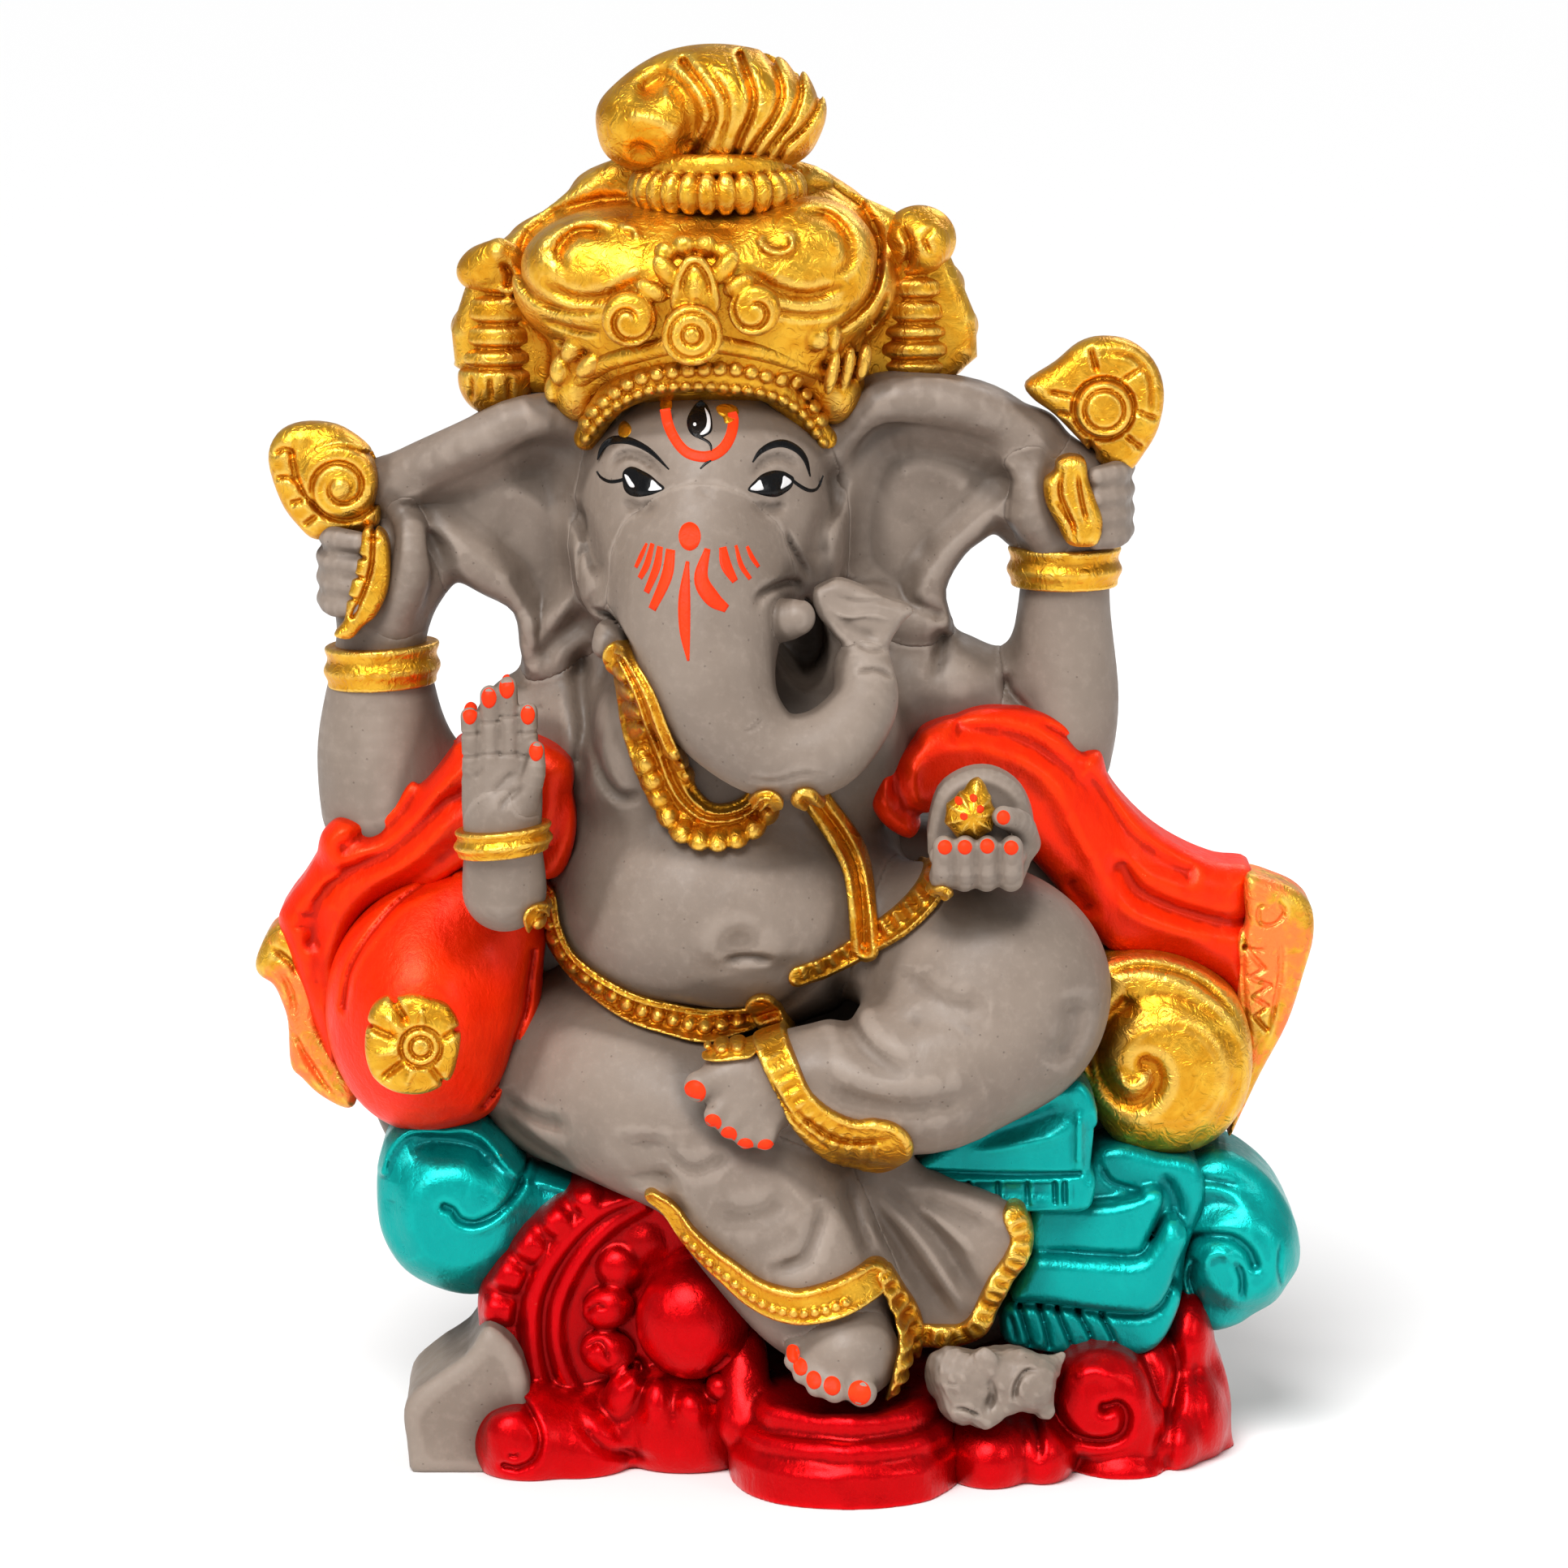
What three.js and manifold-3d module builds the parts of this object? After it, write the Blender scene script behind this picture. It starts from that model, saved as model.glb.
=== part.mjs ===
// A seated clay Ganesha idol on a scrolled throne, as the separate clay pieces that a maker presses,
// models by hand and lutes together with slip. Millimetres, +Z up, the idol faces -Y, and the origin is
// the middle of the footprint. "right" and "left" are the idol's own sides: its right is at -X.
import * as THREE from "three";
import { mergeVertices } from "three/addons/utils/BufferGeometryUtils.js";
import Module from "manifold-3d";

const wasm = await Module();
wasm.setup();

// Driving dimensions
const SLIP_JOINT = 0.35; // gap that the slip fills between two luted pieces
const FLOOR = 0; // the flat underside that the idol stands on
const BACK = 40; // y of the flat pressed back
const THRONE_FRONT = -3; // y of the throne slab's front, behind the scrolls and the seated figure
const WALL = 11; // clay thickness around the open hollow under the throne
const HOLLOW = { right: -58, left: 74, top: 74 }; // its two sides in x, and its top in z
const PLINTH_STEP = 10.5; // height of the foot rest's lower step
const PLINTH_TOP = 19; // height of the foot rest
const HEAD = [-15.6, -8, 204]; // middle of the skull
const TURBAN = [-16.7, -5, 250]; // middle of the turban's bulge
const BELLY = [-12.5, -6, 119]; // middle of the belly
const LEFT_KNEE = [45, -26, 103]; // middle of the crossed leg's knee

const CLAY = { color: 0xa09388, roughness: 0.8, metalness: 0 };
const GOLD = { color: 0xd9a22e, roughness: 0.38, metalness: 0.9 };
const SCARLET = { color: 0xf0370a, roughness: 0.45, metalness: 0.1 };
const CRIMSON = { color: 0xc4061f, roughness: 0.35, metalness: 0.3 };
const TEAL = { color: 0x0aa095, roughness: 0.3, metalness: 0.3 };

// ---------------------------------------------------------------------------------------------
// Solids from three.js geometry. Each takes "grow", how far its surface stands out from the true one,
// so that a neighbour can be cut back by the same shape with a slip joint's gap around it.

function toSolid(geometry) {
  const bare = geometry.index ? geometry.toNonIndexed() : geometry.clone();
  bare.deleteAttribute("normal");
  bare.deleteAttribute("uv");
  const merged = mergeVertices(bare, 1e-4);
  return new wasm.Manifold(
    new wasm.Mesh({
      numProp: 3,
      vertProperties: merged.attributes.position.array,
      triVerts: new Uint32Array(merged.index.array),
    }),
  );
}

function join(...solids) {
  return solids.reduce((whole, solid) => whole.add(solid));
}

function ellipsoid(at, radii, grow, turnDeg = [0, 0, 0], around = 10) {
  const ball = new THREE.SphereGeometry(1, around, Math.round(around * 0.6));
  ball.rotateX(Math.PI / 2);
  ball.scale(...radii.map((r) => r + grow));
  const turn = new THREE.Euler(...turnDeg.map(THREE.MathUtils.degToRad));
  ball.applyMatrix4(new THREE.Matrix4().makeRotationFromEuler(turn));
  return toSolid(ball.translate(...at));
}

// A round-ended tube through points [x, y, z, radius]; depth stretches its section along Y.
function limb(path, grow, { sides = 7, steps = 1, depth = 1 } = {}) {
  const curve = new THREE.CatmullRomCurve3(path.map(([x, y, z]) => new THREE.Vector3(x, y, z)));
  const count = (path.length - 1) * steps;
  const rings = [];
  const across = new THREE.Vector3(0.31, 0.87, 0.38);
  const addRing = (centre, along, radius) => {
    across.addScaledVector(along, -across.dot(along)).normalize();
    const up = new THREE.Vector3().crossVectors(along, across);
    rings.push(
      Array.from({ length: sides }, (_, j) => {
        const angle = (2 * Math.PI * j) / sides;
        const out = across.clone().multiplyScalar(Math.cos(angle) * radius);
        out.addScaledVector(up, Math.sin(angle) * radius);
        out.y *= depth;
        return out.add(centre);
      }),
    );
  };
  const capAngle = THREE.MathUtils.degToRad(48);
  const radiusAt = (t) => {
    const place = Math.min(t * (path.length - 1), path.length - 1.0001);
    const low = Math.floor(place);
    return THREE.MathUtils.lerp(path[low][3], path[low + 1][3], place - low) + grow;
  };
  const first = { at: curve.getPoint(0), along: curve.getTangent(0), r: radiusAt(0) };
  const last = { at: curve.getPoint(1), along: curve.getTangent(1), r: radiusAt(1) };
  const beyond = (end, distance) => end.at.clone().addScaledVector(end.along, distance);
  addRing(beyond(first, -first.r * Math.sin(capAngle)), first.along, first.r * Math.cos(capAngle));
  for (let i = 0; i <= count; i++) {
    addRing(curve.getPoint(i / count), curve.getTangent(i / count), radiusAt(i / count));
  }
  addRing(beyond(last, last.r * Math.sin(capAngle)), last.along, last.r * Math.cos(capAngle));
  const points = [...rings.flat(), beyond(first, -first.r), beyond(last, last.r)];
  const start = rings.length * sides;
  const faces = [];
  for (let j = 0; j < sides; j++) {
    const next = (j + 1) % sides;
    for (let i = 0; i + 1 < rings.length; i++) {
      const [a, b] = [i * sides + j, i * sides + next];
      faces.push(a, b, b + sides, a, b + sides, a + sides);
    }
    const tail = start - sides;
    faces.push(start, next, j, start + 1, tail + j, tail + next);
  }
  return toSolid(new THREE.BufferGeometry().setFromPoints(points).setIndex(faces));
}

function smoothShape(outline, perPoint) {
  const loop = new THREE.CatmullRomCurve3(
    outline.map(([x, y]) => new THREE.Vector3(x, y, 0)),
    true,
    "centripetal",
  );
  const points = loop.getPoints(outline.length * perPoint).slice(0, -1);
  return new THREE.Shape(points.map((p) => new THREE.Vector2(p.x, p.y)));
}

function extruded(shape, thickness, edge, grow) {
  return new THREE.ExtrudeGeometry(shape, {
    depth: thickness + 2 * (grow - edge),
    bevelThickness: edge,
    bevelSize: edge,
    bevelOffset: grow - edge,
    bevelSegments: 1,
    steps: 1,
  });
}

// A plate that faces the front: an outline of [x, z] points, from the back y to the front y.
function plate(outline, back, front, grow, { edge = 2, perPoint = 1 } = {}) {
  const slab = extruded(smoothShape(outline, perPoint), back - front, edge, grow);
  slab.rotateX(Math.PI / 2);
  return toSolid(slab.translate(0, back + grow - edge, 0));
}

// A tier that lies flat: an outline of [x, y] points, from a low z to a high z.
function tier(outline, low, high, grow, { edge = 1.5, perPoint = 1 } = {}) {
  const slab = extruded(smoothShape(outline, perPoint), high - low, edge, grow);
  return toSolid(slab.translate(0, 0, low - grow + edge));
}

// A round drum with a domed front, its axis along Y.
function drum([x, y, z], radius, halfLength, grow, dome = 0.35, around = 14) {
  const [r, h] = [radius + grow, halfLength + grow];
  const profile = [
    [0, -h],
    [r * 0.9, -h],
    [r, -h * 0.7],
    [r, h * (1 - dome)],
    [r * 0.72, h * (1 - dome * 0.3)],
    [0, h],
  ].map(([a, b]) => new THREE.Vector2(a, b));
  const lathe = new THREE.LatheGeometry(profile, around);
  return toSolid(lathe.rotateX(Math.PI).translate(x, y, z));
}

// A ring around the direction "along": a bangle or a ring of beads.
function hoop(at, radius, tube, along, grow, stretch = [1, 1, 1]) {
  const ring = new THREE.TorusGeometry(radius, tube + grow, 5, 14);
  const turn = new THREE.Quaternion().setFromUnitVectors(
    new THREE.Vector3(0, 0, 1),
    new THREE.Vector3(...along).normalize(),
  );
  ring.applyQuaternion(turn).scale(...stretch);
  return toSolid(ring.translate(...at));
}

function box(low, high) {
  const size = high.map((v, i) => v - low[i]);
  const middle = high.map((v, i) => (v + low[i]) / 2);
  return toSolid(new THREE.BoxGeometry(...size).translate(...middle));
}

// ---------------------------------------------------------------------------------------------
// The pieces, outermost first: each one is cut back by those above it in the list.

const pieces = [];
const piece = (name, paint, shape) => pieces.push({ name, paint, shape });

// Crown
piece("crown_rosette", GOLD, (g) =>
  join(
    drum([-18.9, -33, 242.4], 6.2, 3, g, 0.35, 10),
    drum([-30.6, -29, 245], 5.4, 3.4, g, 0.35, 8),
    drum([-6.8, -29, 246], 5.4, 3.4, g, 0.35, 8),
    ellipsoid([-18.9, -30, 252], [6, 4, 7.5], g, [12, 0, 0], 8),
    ellipsoid([-26, -29, 250], [5, 3, 3.2], g, [0, 20, 0], 6),
    ellipsoid([-11.8, -29, 251], [5, 3, 3.2], g, [0, -20, 0], 6),
  ),
);
piece("crown_band", GOLD, (g) =>
  limb(
    [
      [-42.5, -14, 218, 3.4],
      [-35, -24, 228.5, 3.8],
      [-19, -30, 235.5, 4],
      [-3, -24, 230.5, 3.8],
      [12.5, -14, 217, 3.4],
    ],
    g,
  ),
);
piece("topknot", GOLD, (g) =>
  join(
    ellipsoid([-13, -5, 288], [21.5, 14, 12], g, [0, -5, 0]),
    ellipsoid([-27, -8, 284.5], [12, 11, 9.5], g, [0, 0, 0], 10),
  ),
);
piece("topknot_bead_ring", GOLD, (g) =>
  hoop([-14, -6, 270.5], 15, 3.6, [0, 0.1, 1], g, [1.05, 0.85, 1]),
);
piece("right_ear_roll", GOLD, (g) =>
  limb([[-60.4, 4, 252.5, 7.4], [-60.6, 4, 241, 6.6], [-60, 4, 229.5, 7.6]], g),
);
piece("left_ear_roll", GOLD, (g) =>
  limb([[27.6, 4, 260.5, 7.6], [27.9, 4, 247, 6.8], [27.6, 4, 235.5, 7.6]], g),
);
piece("turban", GOLD, (g) =>
  join(
    ellipsoid(TURBAN, [40.5, 27, 19.5], g, [0, 0, 0], 12),
    ellipsoid([-16.2, -4, 238], [31, 24.5, 15], g),
    plate(
      [[-58, 228], [-60, 255], [-47, 264.5], [-29, 275], [3, 274.5], [13, 269], [29, 261], [29, 228]],
      12,
      -2,
      g,
    ),
  ),
);

// Head
piece("right_tusk", CLAY, (g) =>
  limb([[-28, -20, 182.5, 3.6], [-34.5, -27, 179.8, 4.3], [-36.6, -30.5, 178, 3.4]], g),
);
piece("left_tusk", CLAY, (g) =>
  limb([[-7, -24, 183, 3.8], [-1.5, -33, 183.2, 4.6], [1.4, -38, 183.6, 3.8]], g),
);
piece("trunk_tip_flare", CLAY, (g) =>
  plate(
    [[6, 188.5], [16, 190.5], [27.5, 186.5], [24, 178.5], [18.5, 174.5], [11.5, 178]],
    -30,
    -36,
    g,
    { edge: 1.2 },
  ),
);
piece("trunk", CLAY, (g) =>
  limb(
    [
      [-16.5, -24, 200, 17],
      [-17.3, -32, 187.5, 18.2],
      [-16.4, -38, 175, 14.4],
      [-11.9, -42, 164.5, 11.2],
      [-2.7, -44, 158, 9.2],
      [8.2, -43, 159.2, 8.6],
      [15.6, -39, 166.7, 7.6],
      [15, -35, 173.4, 6.2],
    ],
    g,
    { sides: 8 },
  ),
);
piece("right_ear", CLAY, (g) =>
  plate(
    [
      [-40, 222],
      [-56, 225],
      [-70, 219],
      [-84, 212],
      [-86, 206.5],
      [-76.5, 200],
      [-70, 189.5],
      [-58.5, 184],
      [-56.5, 172],
      [-49, 165.5],
      [-38, 176],
      [-36, 200],
    ],
    8,
    -6,
    g,
  ),
);
piece("left_ear", CLAY, (g) =>
  plate(
    [
      [8, 222],
      [19, 230],
      [38, 229],
      [53, 221],
      [57.5, 214],
      [49, 200],
      [39, 190],
      [34.5, 176],
      [24, 175],
      [11, 184],
      [6, 204],
    ],
    8,
    -6,
    g,
  ),
);
piece("head", CLAY, (g) =>
  join(
    ellipsoid(HEAD, [28, 26, 27], g, [0, 0, 0], 12),
    ellipsoid([-30, -11, 192], [13, 16, 15], g),
    ellipsoid([-1, -11, 193], [13, 16, 15], g),
    ellipsoid([-15, 8, 188], [24, 20, 26], g),
  ),
);

// Hands and what they hold
piece("axe_blade", GOLD, (g) =>
  join(
    drum([-96, -5, 211.5], 11, 6, g),
    ellipsoid([-101.5, -3, 207.5], [9.5, 6.5, 12], g, [0, 20, 0], 10),
  ),
);
piece("goad_head", GOLD, (g) =>
  join(
    drum([68.6, -5, 226], 10.6, 6, g),
    ellipsoid([66, -3, 222], [14.5, 6.5, 12], g, [0, 25, 0], 10),
  ),
);
piece("axe_handle", GOLD, (g) =>
  limb([[-82.5, -12, 196.5, 3], [-81, -14.5, 188, 3.4], [-86.5, -13, 176.5, 3]], g, { sides: 6 }),
);
piece("goad_handle", GOLD, (g) =>
  limb([[56.5, -12, 213.5, 3.4], [57.5, -14.5, 205, 5], [62.5, -13, 195.5, 3.8]], g, { sides: 6 }),
);
piece("right_rear_bangle", GOLD, (g) => hoop([-85.8, 1, 168], 9.6, 2.8, [0.05, 0, 1], g));
piece("left_rear_bangle", GOLD, (g) => hoop([59.7, 1, 189], 9, 2.8, [0, 0, 1], g));
piece("right_rear_hand", CLAY, (g) =>
  join(
    ellipsoid([-84.8, -1.5, 186], [11.5, 8.5, 13.5], g),
    ellipsoid([-92.5, -5, 187], [6, 6.5, 12], g, [0, 0, 0], 8),
  ),
);
piece("left_rear_hand", CLAY, (g) =>
  join(
    ellipsoid([60.2, -1.5, 204], [11, 8.5, 12.5], g),
    ellipsoid([68, -5, 204.5], [6, 6.5, 10.5], g, [0, 0, 0], 8),
  ),
);
piece("right_rear_arm", CLAY, (g) =>
  limb([[-84, 4, 138, 15.5], [-86, 3, 152, 13.6], [-86, 1, 170, 9.8], [-85.6, 0, 178, 9]], g),
);
piece("left_rear_arm", CLAY, (g) =>
  limb([[56, 4, 150, 14.5], [59, 3, 162, 12.4], [59.7, 1, 181, 9.6], [60, 0, 196, 9]], g),
);
piece("right_front_bangle", GOLD, (g) =>
  hoop([-58.5, -36.5, 137], 7.6, 2.2, [0, 0, 1], g, [1, 0.85, 1]),
);
piece("blessing_hand", CLAY, (g) =>
  join(
    limb([[-58.7, -37, 142, 6.6], [-58.6, -37, 152, 8.4]], g, { depth: 0.7 }),
    limb([[-64, -37.5, 154, 2.3], [-64.2, -38, 163, 2]], g, { sides: 5 }),
    limb([[-60.4, -37.5, 154, 2.4], [-60.2, -38, 167, 2.1]], g, { sides: 6 }),
    limb([[-56.6, -37.5, 154, 2.4], [-56.8, -38, 168, 2.1]], g, { sides: 6 }),
    limb([[-53, -37.5, 154, 2.3], [-52.8, -38, 164, 2]], g, { sides: 6 }),
    limb([[-52.5, -38, 147, 2.6], [-50.2, -38.5, 156, 2.2]], g, { sides: 6 }),
  ),
);
piece("right_front_forearm", CLAY, (g) =>
  limb([[-58.5, -34, 126, 8.6], [-58.6, -36.5, 138, 7.4], [-58.7, -37, 144, 6.2]], g, {
    depth: 0.9,
  }),
);
piece("modak", GOLD, (g) => ellipsoid([40.2, -50, 144.5], [6.8, 6, 6.8], g, [0, 0, 0], 10));
piece("offering_hand", CLAY, (g) =>
  join(
    ellipsoid([41.4, -38, 139.5], [10.8, 13, 11.8], g),
    limb([[34.6, -46, 137, 2.6], [34.6, -51, 135.5, 2.3]], g, { sides: 6 }),
    limb([[39, -47, 135, 2.6], [39, -52, 134, 2.3]], g, { sides: 6 }),
    limb([[43.8, -47, 135.5, 2.6], [43.8, -52, 134.5, 2.3]], g, { sides: 6 }),
    limb([[48.4, -45, 136.5, 2.6], [48.4, -50, 135.5, 2.3]], g, { sides: 6 }),
  ),
);

// Cloth borders and ornaments
piece("necklace", GOLD, (g) =>
  limb(
    [
      [-37.5, -20, 174, 3],
      [-32.5, -26, 164, 3.4],
      [-28, -29.5, 153, 3.8],
      [-24, -32, 142, 4],
      [-12, -34, 138.5, 4],
      [-2, -33, 143, 3.6],
      [5, -30, 151, 3],
    ],
    g,
    { sides: 6 },
  ),
);
piece("belt", GOLD, (g) =>
  limb(
    [
      [-50.5, -10, 122, 2.6],
      [-48, -20, 112, 3],
      [-40, -30.5, 104, 3.2],
      [-26, -38, 97.5, 3.2],
      [-8, -40.5, 95, 3.2],
      [6, -36, 104, 3],
      [20, -28, 115.5, 3],
      [31, -18, 126, 2.6],
    ],
    g,
    { sides: 6 },
  ),
);
piece("sacred_thread", GOLD, (g) =>
  limb(
    [
      [3, -30, 147, 2.2],
      [11, -27, 136, 2.6],
      [17, -27, 124.5, 2.8],
      [15, -33, 114, 2.4],
    ],
    g,
    { sides: 6 },
  ),
);
piece("crossed_leg_hem", GOLD, (g) =>
  limb(
    [
      [-6.5, -47, 100.5, 3],
      [-1.5, -52, 91, 3.6],
      [6, -52, 81, 4],
      [14, -47, 74, 4.4],
      [21.5, -39, 73, 4.6],
    ],
    g,
    { sides: 6 },
  ),
);
piece("hanging_leg_hem", GOLD, (g) =>
  limb(
    [
      [-27.5, -28, 57, 2.6],
      [-20, -40, 50, 3],
      [-9.5, -50, 42.5, 3.4],
      [1, -53, 39.5, 3.4],
      [11, -53, 41, 3.4],
      [20, -46, 42.5, 3],
    ],
    g,
    { sides: 6 },
  ),
);
piece("front_pleat_hem", GOLD, (g) =>
  limb([[23, -44, 40, 2.4], [26, -46, 31.5, 2.6], [25, -49, 24, 2.8], [23.5, -51, 18, 2.4]], g, {
    sides: 6,
  }),
);
piece("fan_pleat_hem", GOLD, (g) =>
  limb(
    [
      [49.5, -32, 55.5, 2.6],
      [51.5, -34, 48, 2.8],
      [46.5, -35, 40, 2.8],
      [43, -37, 31.5, 2.8],
      [31, -40, 29.5, 2.6],
    ],
    g,
    { sides: 6 },
  ),
);

// Legs and feet
piece("crossed_foot", CLAY, (g) =>
  join(
    ellipsoid([-7.5, -49, 86], [10.5, 7.5, 9.5], g, [0, 35, 0]),
    ellipsoid([-17.2, -51.5, 88.5], [3.2, 3.6, 3.4], g, [0, 0, 0], 6),
    ellipsoid([-14.5, -52.5, 83], [2.7, 3.4, 3], g, [0, 0, 0], 6),
    ellipsoid([-11, -53, 79.6], [2.6, 3.2, 2.8], g, [0, 0, 0], 6),
    ellipsoid([-7.4, -53, 77.6], [2.5, 3.2, 2.7], g, [0, 0, 0], 6),
    ellipsoid([-3.6, -52.5, 77.4], [2.4, 3, 2.6], g, [0, 0, 0], 6),
  ),
);
piece("standing_foot", CLAY, (g) =>
  join(
    ellipsoid([13.3, -47.5, 28.5], [11, 12, 8.6], g, [-20, 0, 0]),
    ellipsoid([17.8, -57.5, 23], [3.3, 4, 2.9], g, [0, 0, 0], 6),
    ellipsoid([12.6, -58.5, 22.8], [2.5, 3.8, 2.6], g, [0, 0, 0], 6),
    ellipsoid([8.6, -57.5, 23], [2.3, 3.6, 2.5], g, [0, 0, 0], 6),
    ellipsoid([5.2, -55.5, 23.4], [2.1, 3.4, 2.4], g, [0, 0, 0], 6),
    ellipsoid([2.6, -52.5, 24.2], [2, 3.2, 2.3], g, [0, 0, 0], 6),
  ),
);
piece("fan_pleats", CLAY, (g) =>
  plate(
    [[17.5, 70], [30, 64], [49, 57], [53, 48], [48, 39], [44, 30], [26, 29], [20, 42]],
    THRONE_FRONT,
    -37,
    g,
    { edge: 3 },
  ),
);
piece("crossed_leg", CLAY, (g) =>
  join(
    ellipsoid(LEFT_KNEE, [24, 23, 25], g),
    limb([[14, -10, 113, 15], [38, -22, 110, 19]], g),
    limb([[42, -28, 97, 20], [30, -37, 88.5, 17.5], [12, -41, 86.5, 13.5], [-1, -43, 87.5, 10]], g, {
      sides: 8,
    }),
  ),
);
piece("hanging_leg", CLAY, (g) =>
  limb(
    [
      [-46, -4, 82, 21],
      [-30, -20, 78.5, 20.5],
      [-13, -30, 71, 19.5],
      [-3, -34, 57, 18.5],
      [6, -37, 43, 16],
      [11, -40, 35, 10],
    ],
    g,
    { sides: 8 },
  ),
);

// Scarf and cushions
piece("cushion_medallion", GOLD, (g) => drum([-78.6, -35, 93.5], 10.4, 3, g));
piece("right_cushion", SCARLET, (g) =>
  join(
    drum([-77.6, -8, 96], 23, 26, g, 0.3, 16),
    ellipsoid([-73, -12, 106], [19, 18, 18.5], g),
  ),
);
piece("left_cushion", GOLD, (g) =>
  join(
    drum([82.4, -4, 84.4], 19, 22, g, 0.3, 16),
    plate([[62.5, 84], [66.5, 104], [79, 107], [95, 100], [80, 84]], 16, -20, g),
  ),
);
piece("right_scarf_fringe", GOLD, (g) =>
  plate(
    [
      [-113, 110],
      [-110.6, 101],
      [-106, 89],
      [-100.4, 77],
      [-93, 71],
      [-90, 80],
      [-97.5, 94],
      [-101, 107],
      [-106, 117],
    ],
    8,
    -5,
    g,
  ),
);
piece("left_scarf_border", GOLD, (g) =>
  plate(
    [[99.8, 123], [110.5, 120], [114, 114.5], [113, 95], [104.4, 79], [96, 64], [99, 83], [99, 107]],
    10,
    -6,
    g,
  ),
);
piece("right_scarf", SCARLET, (g) =>
  join(
    limb(
      [
        [-48, -10, 144, 7],
        [-62, -12, 140, 11],
        [-78, -10, 131, 12],
        [-92, -6, 121, 12.5],
        [-99, 0, 108, 11],
        [-96.5, 3, 90, 9],
      ],
      g,
      { sides: 8 },
    ),
    ellipsoid([-88, -3, 129], [17, 13, 10], g, [0, 35, 0]),
  ),
);
piece("left_scarf", SCARLET, (g) =>
  limb(
    [
      [25.5, -18, 146, 8],
      [34, -14, 153, 9],
      [48, -8, 151, 11.5],
      [60, -5, 139, 12.5],
      [71, -3, 124, 13],
      [84, 0, 115, 13],
      [96, 2, 110, 11],
    ],
    g,
    { sides: 8 },
  ),
);
piece("torso", CLAY, (g) =>
  join(
    ellipsoid(BELLY, [38.5, 36, 28.5], g, [0, 0, 0], 12),
    ellipsoid([-12, -3, 150], [37, 29, 25], g),
    limb([[-52, 6, 152, 15], [-12, 8, 166, 18], [34, 6, 160, 15]], g),
    ellipsoid([-12, 12, 118], [44, 24, 34], g),
  ),
);

// Throne
piece("right_seat_scroll", TEAL, (g) =>
  join(
    drum([-70, -10, 52.5], 18.5, 18, g, 0.35, 16),
    limb([[-66, -12, 60, 9], [-50, -14, 56, 7]], g, { sides: 8 }),
  ),
);
piece("left_seat_leaf", TEAL, (g) =>
  plate(
    [[26, 64.5], [44, 76], [62, 83], [67, 77], [66.5, 62], [58, 56.5], [38, 58]],
    THRONE_FRONT,
    -32,
    g,
  ),
);
piece("left_seat_scroll", TEAL, (g) => drum([98, -6, 42], 14.2, 18, g, 0.35, 16));
piece("left_seat_arm", TEAL, (g) =>
  plate(
    [
      [52, 54],
      [66, 56],
      [76, 64],
      [94, 65.5],
      [106, 55],
      [98, 40],
      [86, 26],
      [76, 19],
      [58, 24],
      [47, 32],
      [54, 44],
    ],
    THRONE_FRONT + WALL / 2,
    -26,
    g,
  ),
);
piece("mouse", CLAY, (g) =>
  join(
    ellipsoid([41, -43, 24], [11.5, 9, 7.6], g, [0, 8, 0], 10),
    ellipsoid([51, -42, 24], [8.5, 7, 6.2], g, [0, 10, 0], 10),
  ),
);
const plinthFront = (inset) => [
  [-12 + inset, THRONE_FRONT],
  [-11 + inset, -44],
  [-2 + inset / 2, -58 + inset],
  [14, -62.5 + inset],
  [30 - inset / 2, -56 + inset],
  [38 - inset, -40],
  [38 - inset, THRONE_FRONT],
];
piece("foot_rest", CRIMSON, (g) =>
  join(
    tier(plinthFront(0), FLOOR, PLINTH_STEP, g),
    tier(plinthFront(4), PLINTH_STEP - 3, PLINTH_TOP, g),
  ),
);
piece("right_volute", CRIMSON, (g) =>
  ellipsoid([-20.6, -29, 33.5], [13, 11, 13], g),
);
piece("right_plinth_scroll", CRIMSON, (g) =>
  join(
    plate(
      [
        [-26, 57],
        [-48, 51.5],
        [-60.5, 40],
        [-65.5, 24],
        [-65, 6],
        [-60, -4],
        [-44, -4],
        [-34, 5],
        [-18, 5],
        [-9, 12],
        [-6, 30],
        [-14, 48],
      ],
      THRONE_FRONT,
      -28,
      g,
    ),
    ellipsoid([-53, -30, 6], [13, 17, 12], g),
    ellipsoid([-20, -24, 8], [14, 13, 12], g),
  ),
);
piece("left_plinth_scroll", CRIMSON, (g) =>
  join(
    drum([65, -24, 14.5], 13.4, 18, g, 0.35, 12),
    ellipsoid([38, -30, 6], [16, 20, 11], g),
    ellipsoid([82, -14, 9], [14, 24, 12], g),
    ellipsoid([88, -5, 12], [12, 21, 15], g),
    ellipsoid([82, -4, 22], [11, 14, 10], g),
  ),
);
piece("throne_back", CLAY, (g) =>
  join(
    plate(
      [[-80, -6], [-83, 8], [-80, 17], [-74, 25], [-66, 31], [-56, 20], [-58, -6]],
      30,
      -36,
      g,
      { edge: 3 },
    ),
    plate(
      [
        [-82, -6],
        [-85, 10],
        [-76, 20],
        [-68, 28],
        [-72, 38],
        [-86, 50],
        [-93, 66],
        [-97, 90],
        [-94, 112],
        [-70, 128],
        [-12, 134],
        [45, 132],
        [82, 116],
        [101, 98],
        [97, 72],
        [96, 48],
        [90, 30],
        [89, -6],
      ],
      BACK,
      THRONE_FRONT,
      g,
      { edge: 6 },
    ),
  ),
);

// ---------------------------------------------------------------------------------------------
// Fitting: the flat foot, the hollow under the throne, and every piece cut back by those above it.

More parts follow.
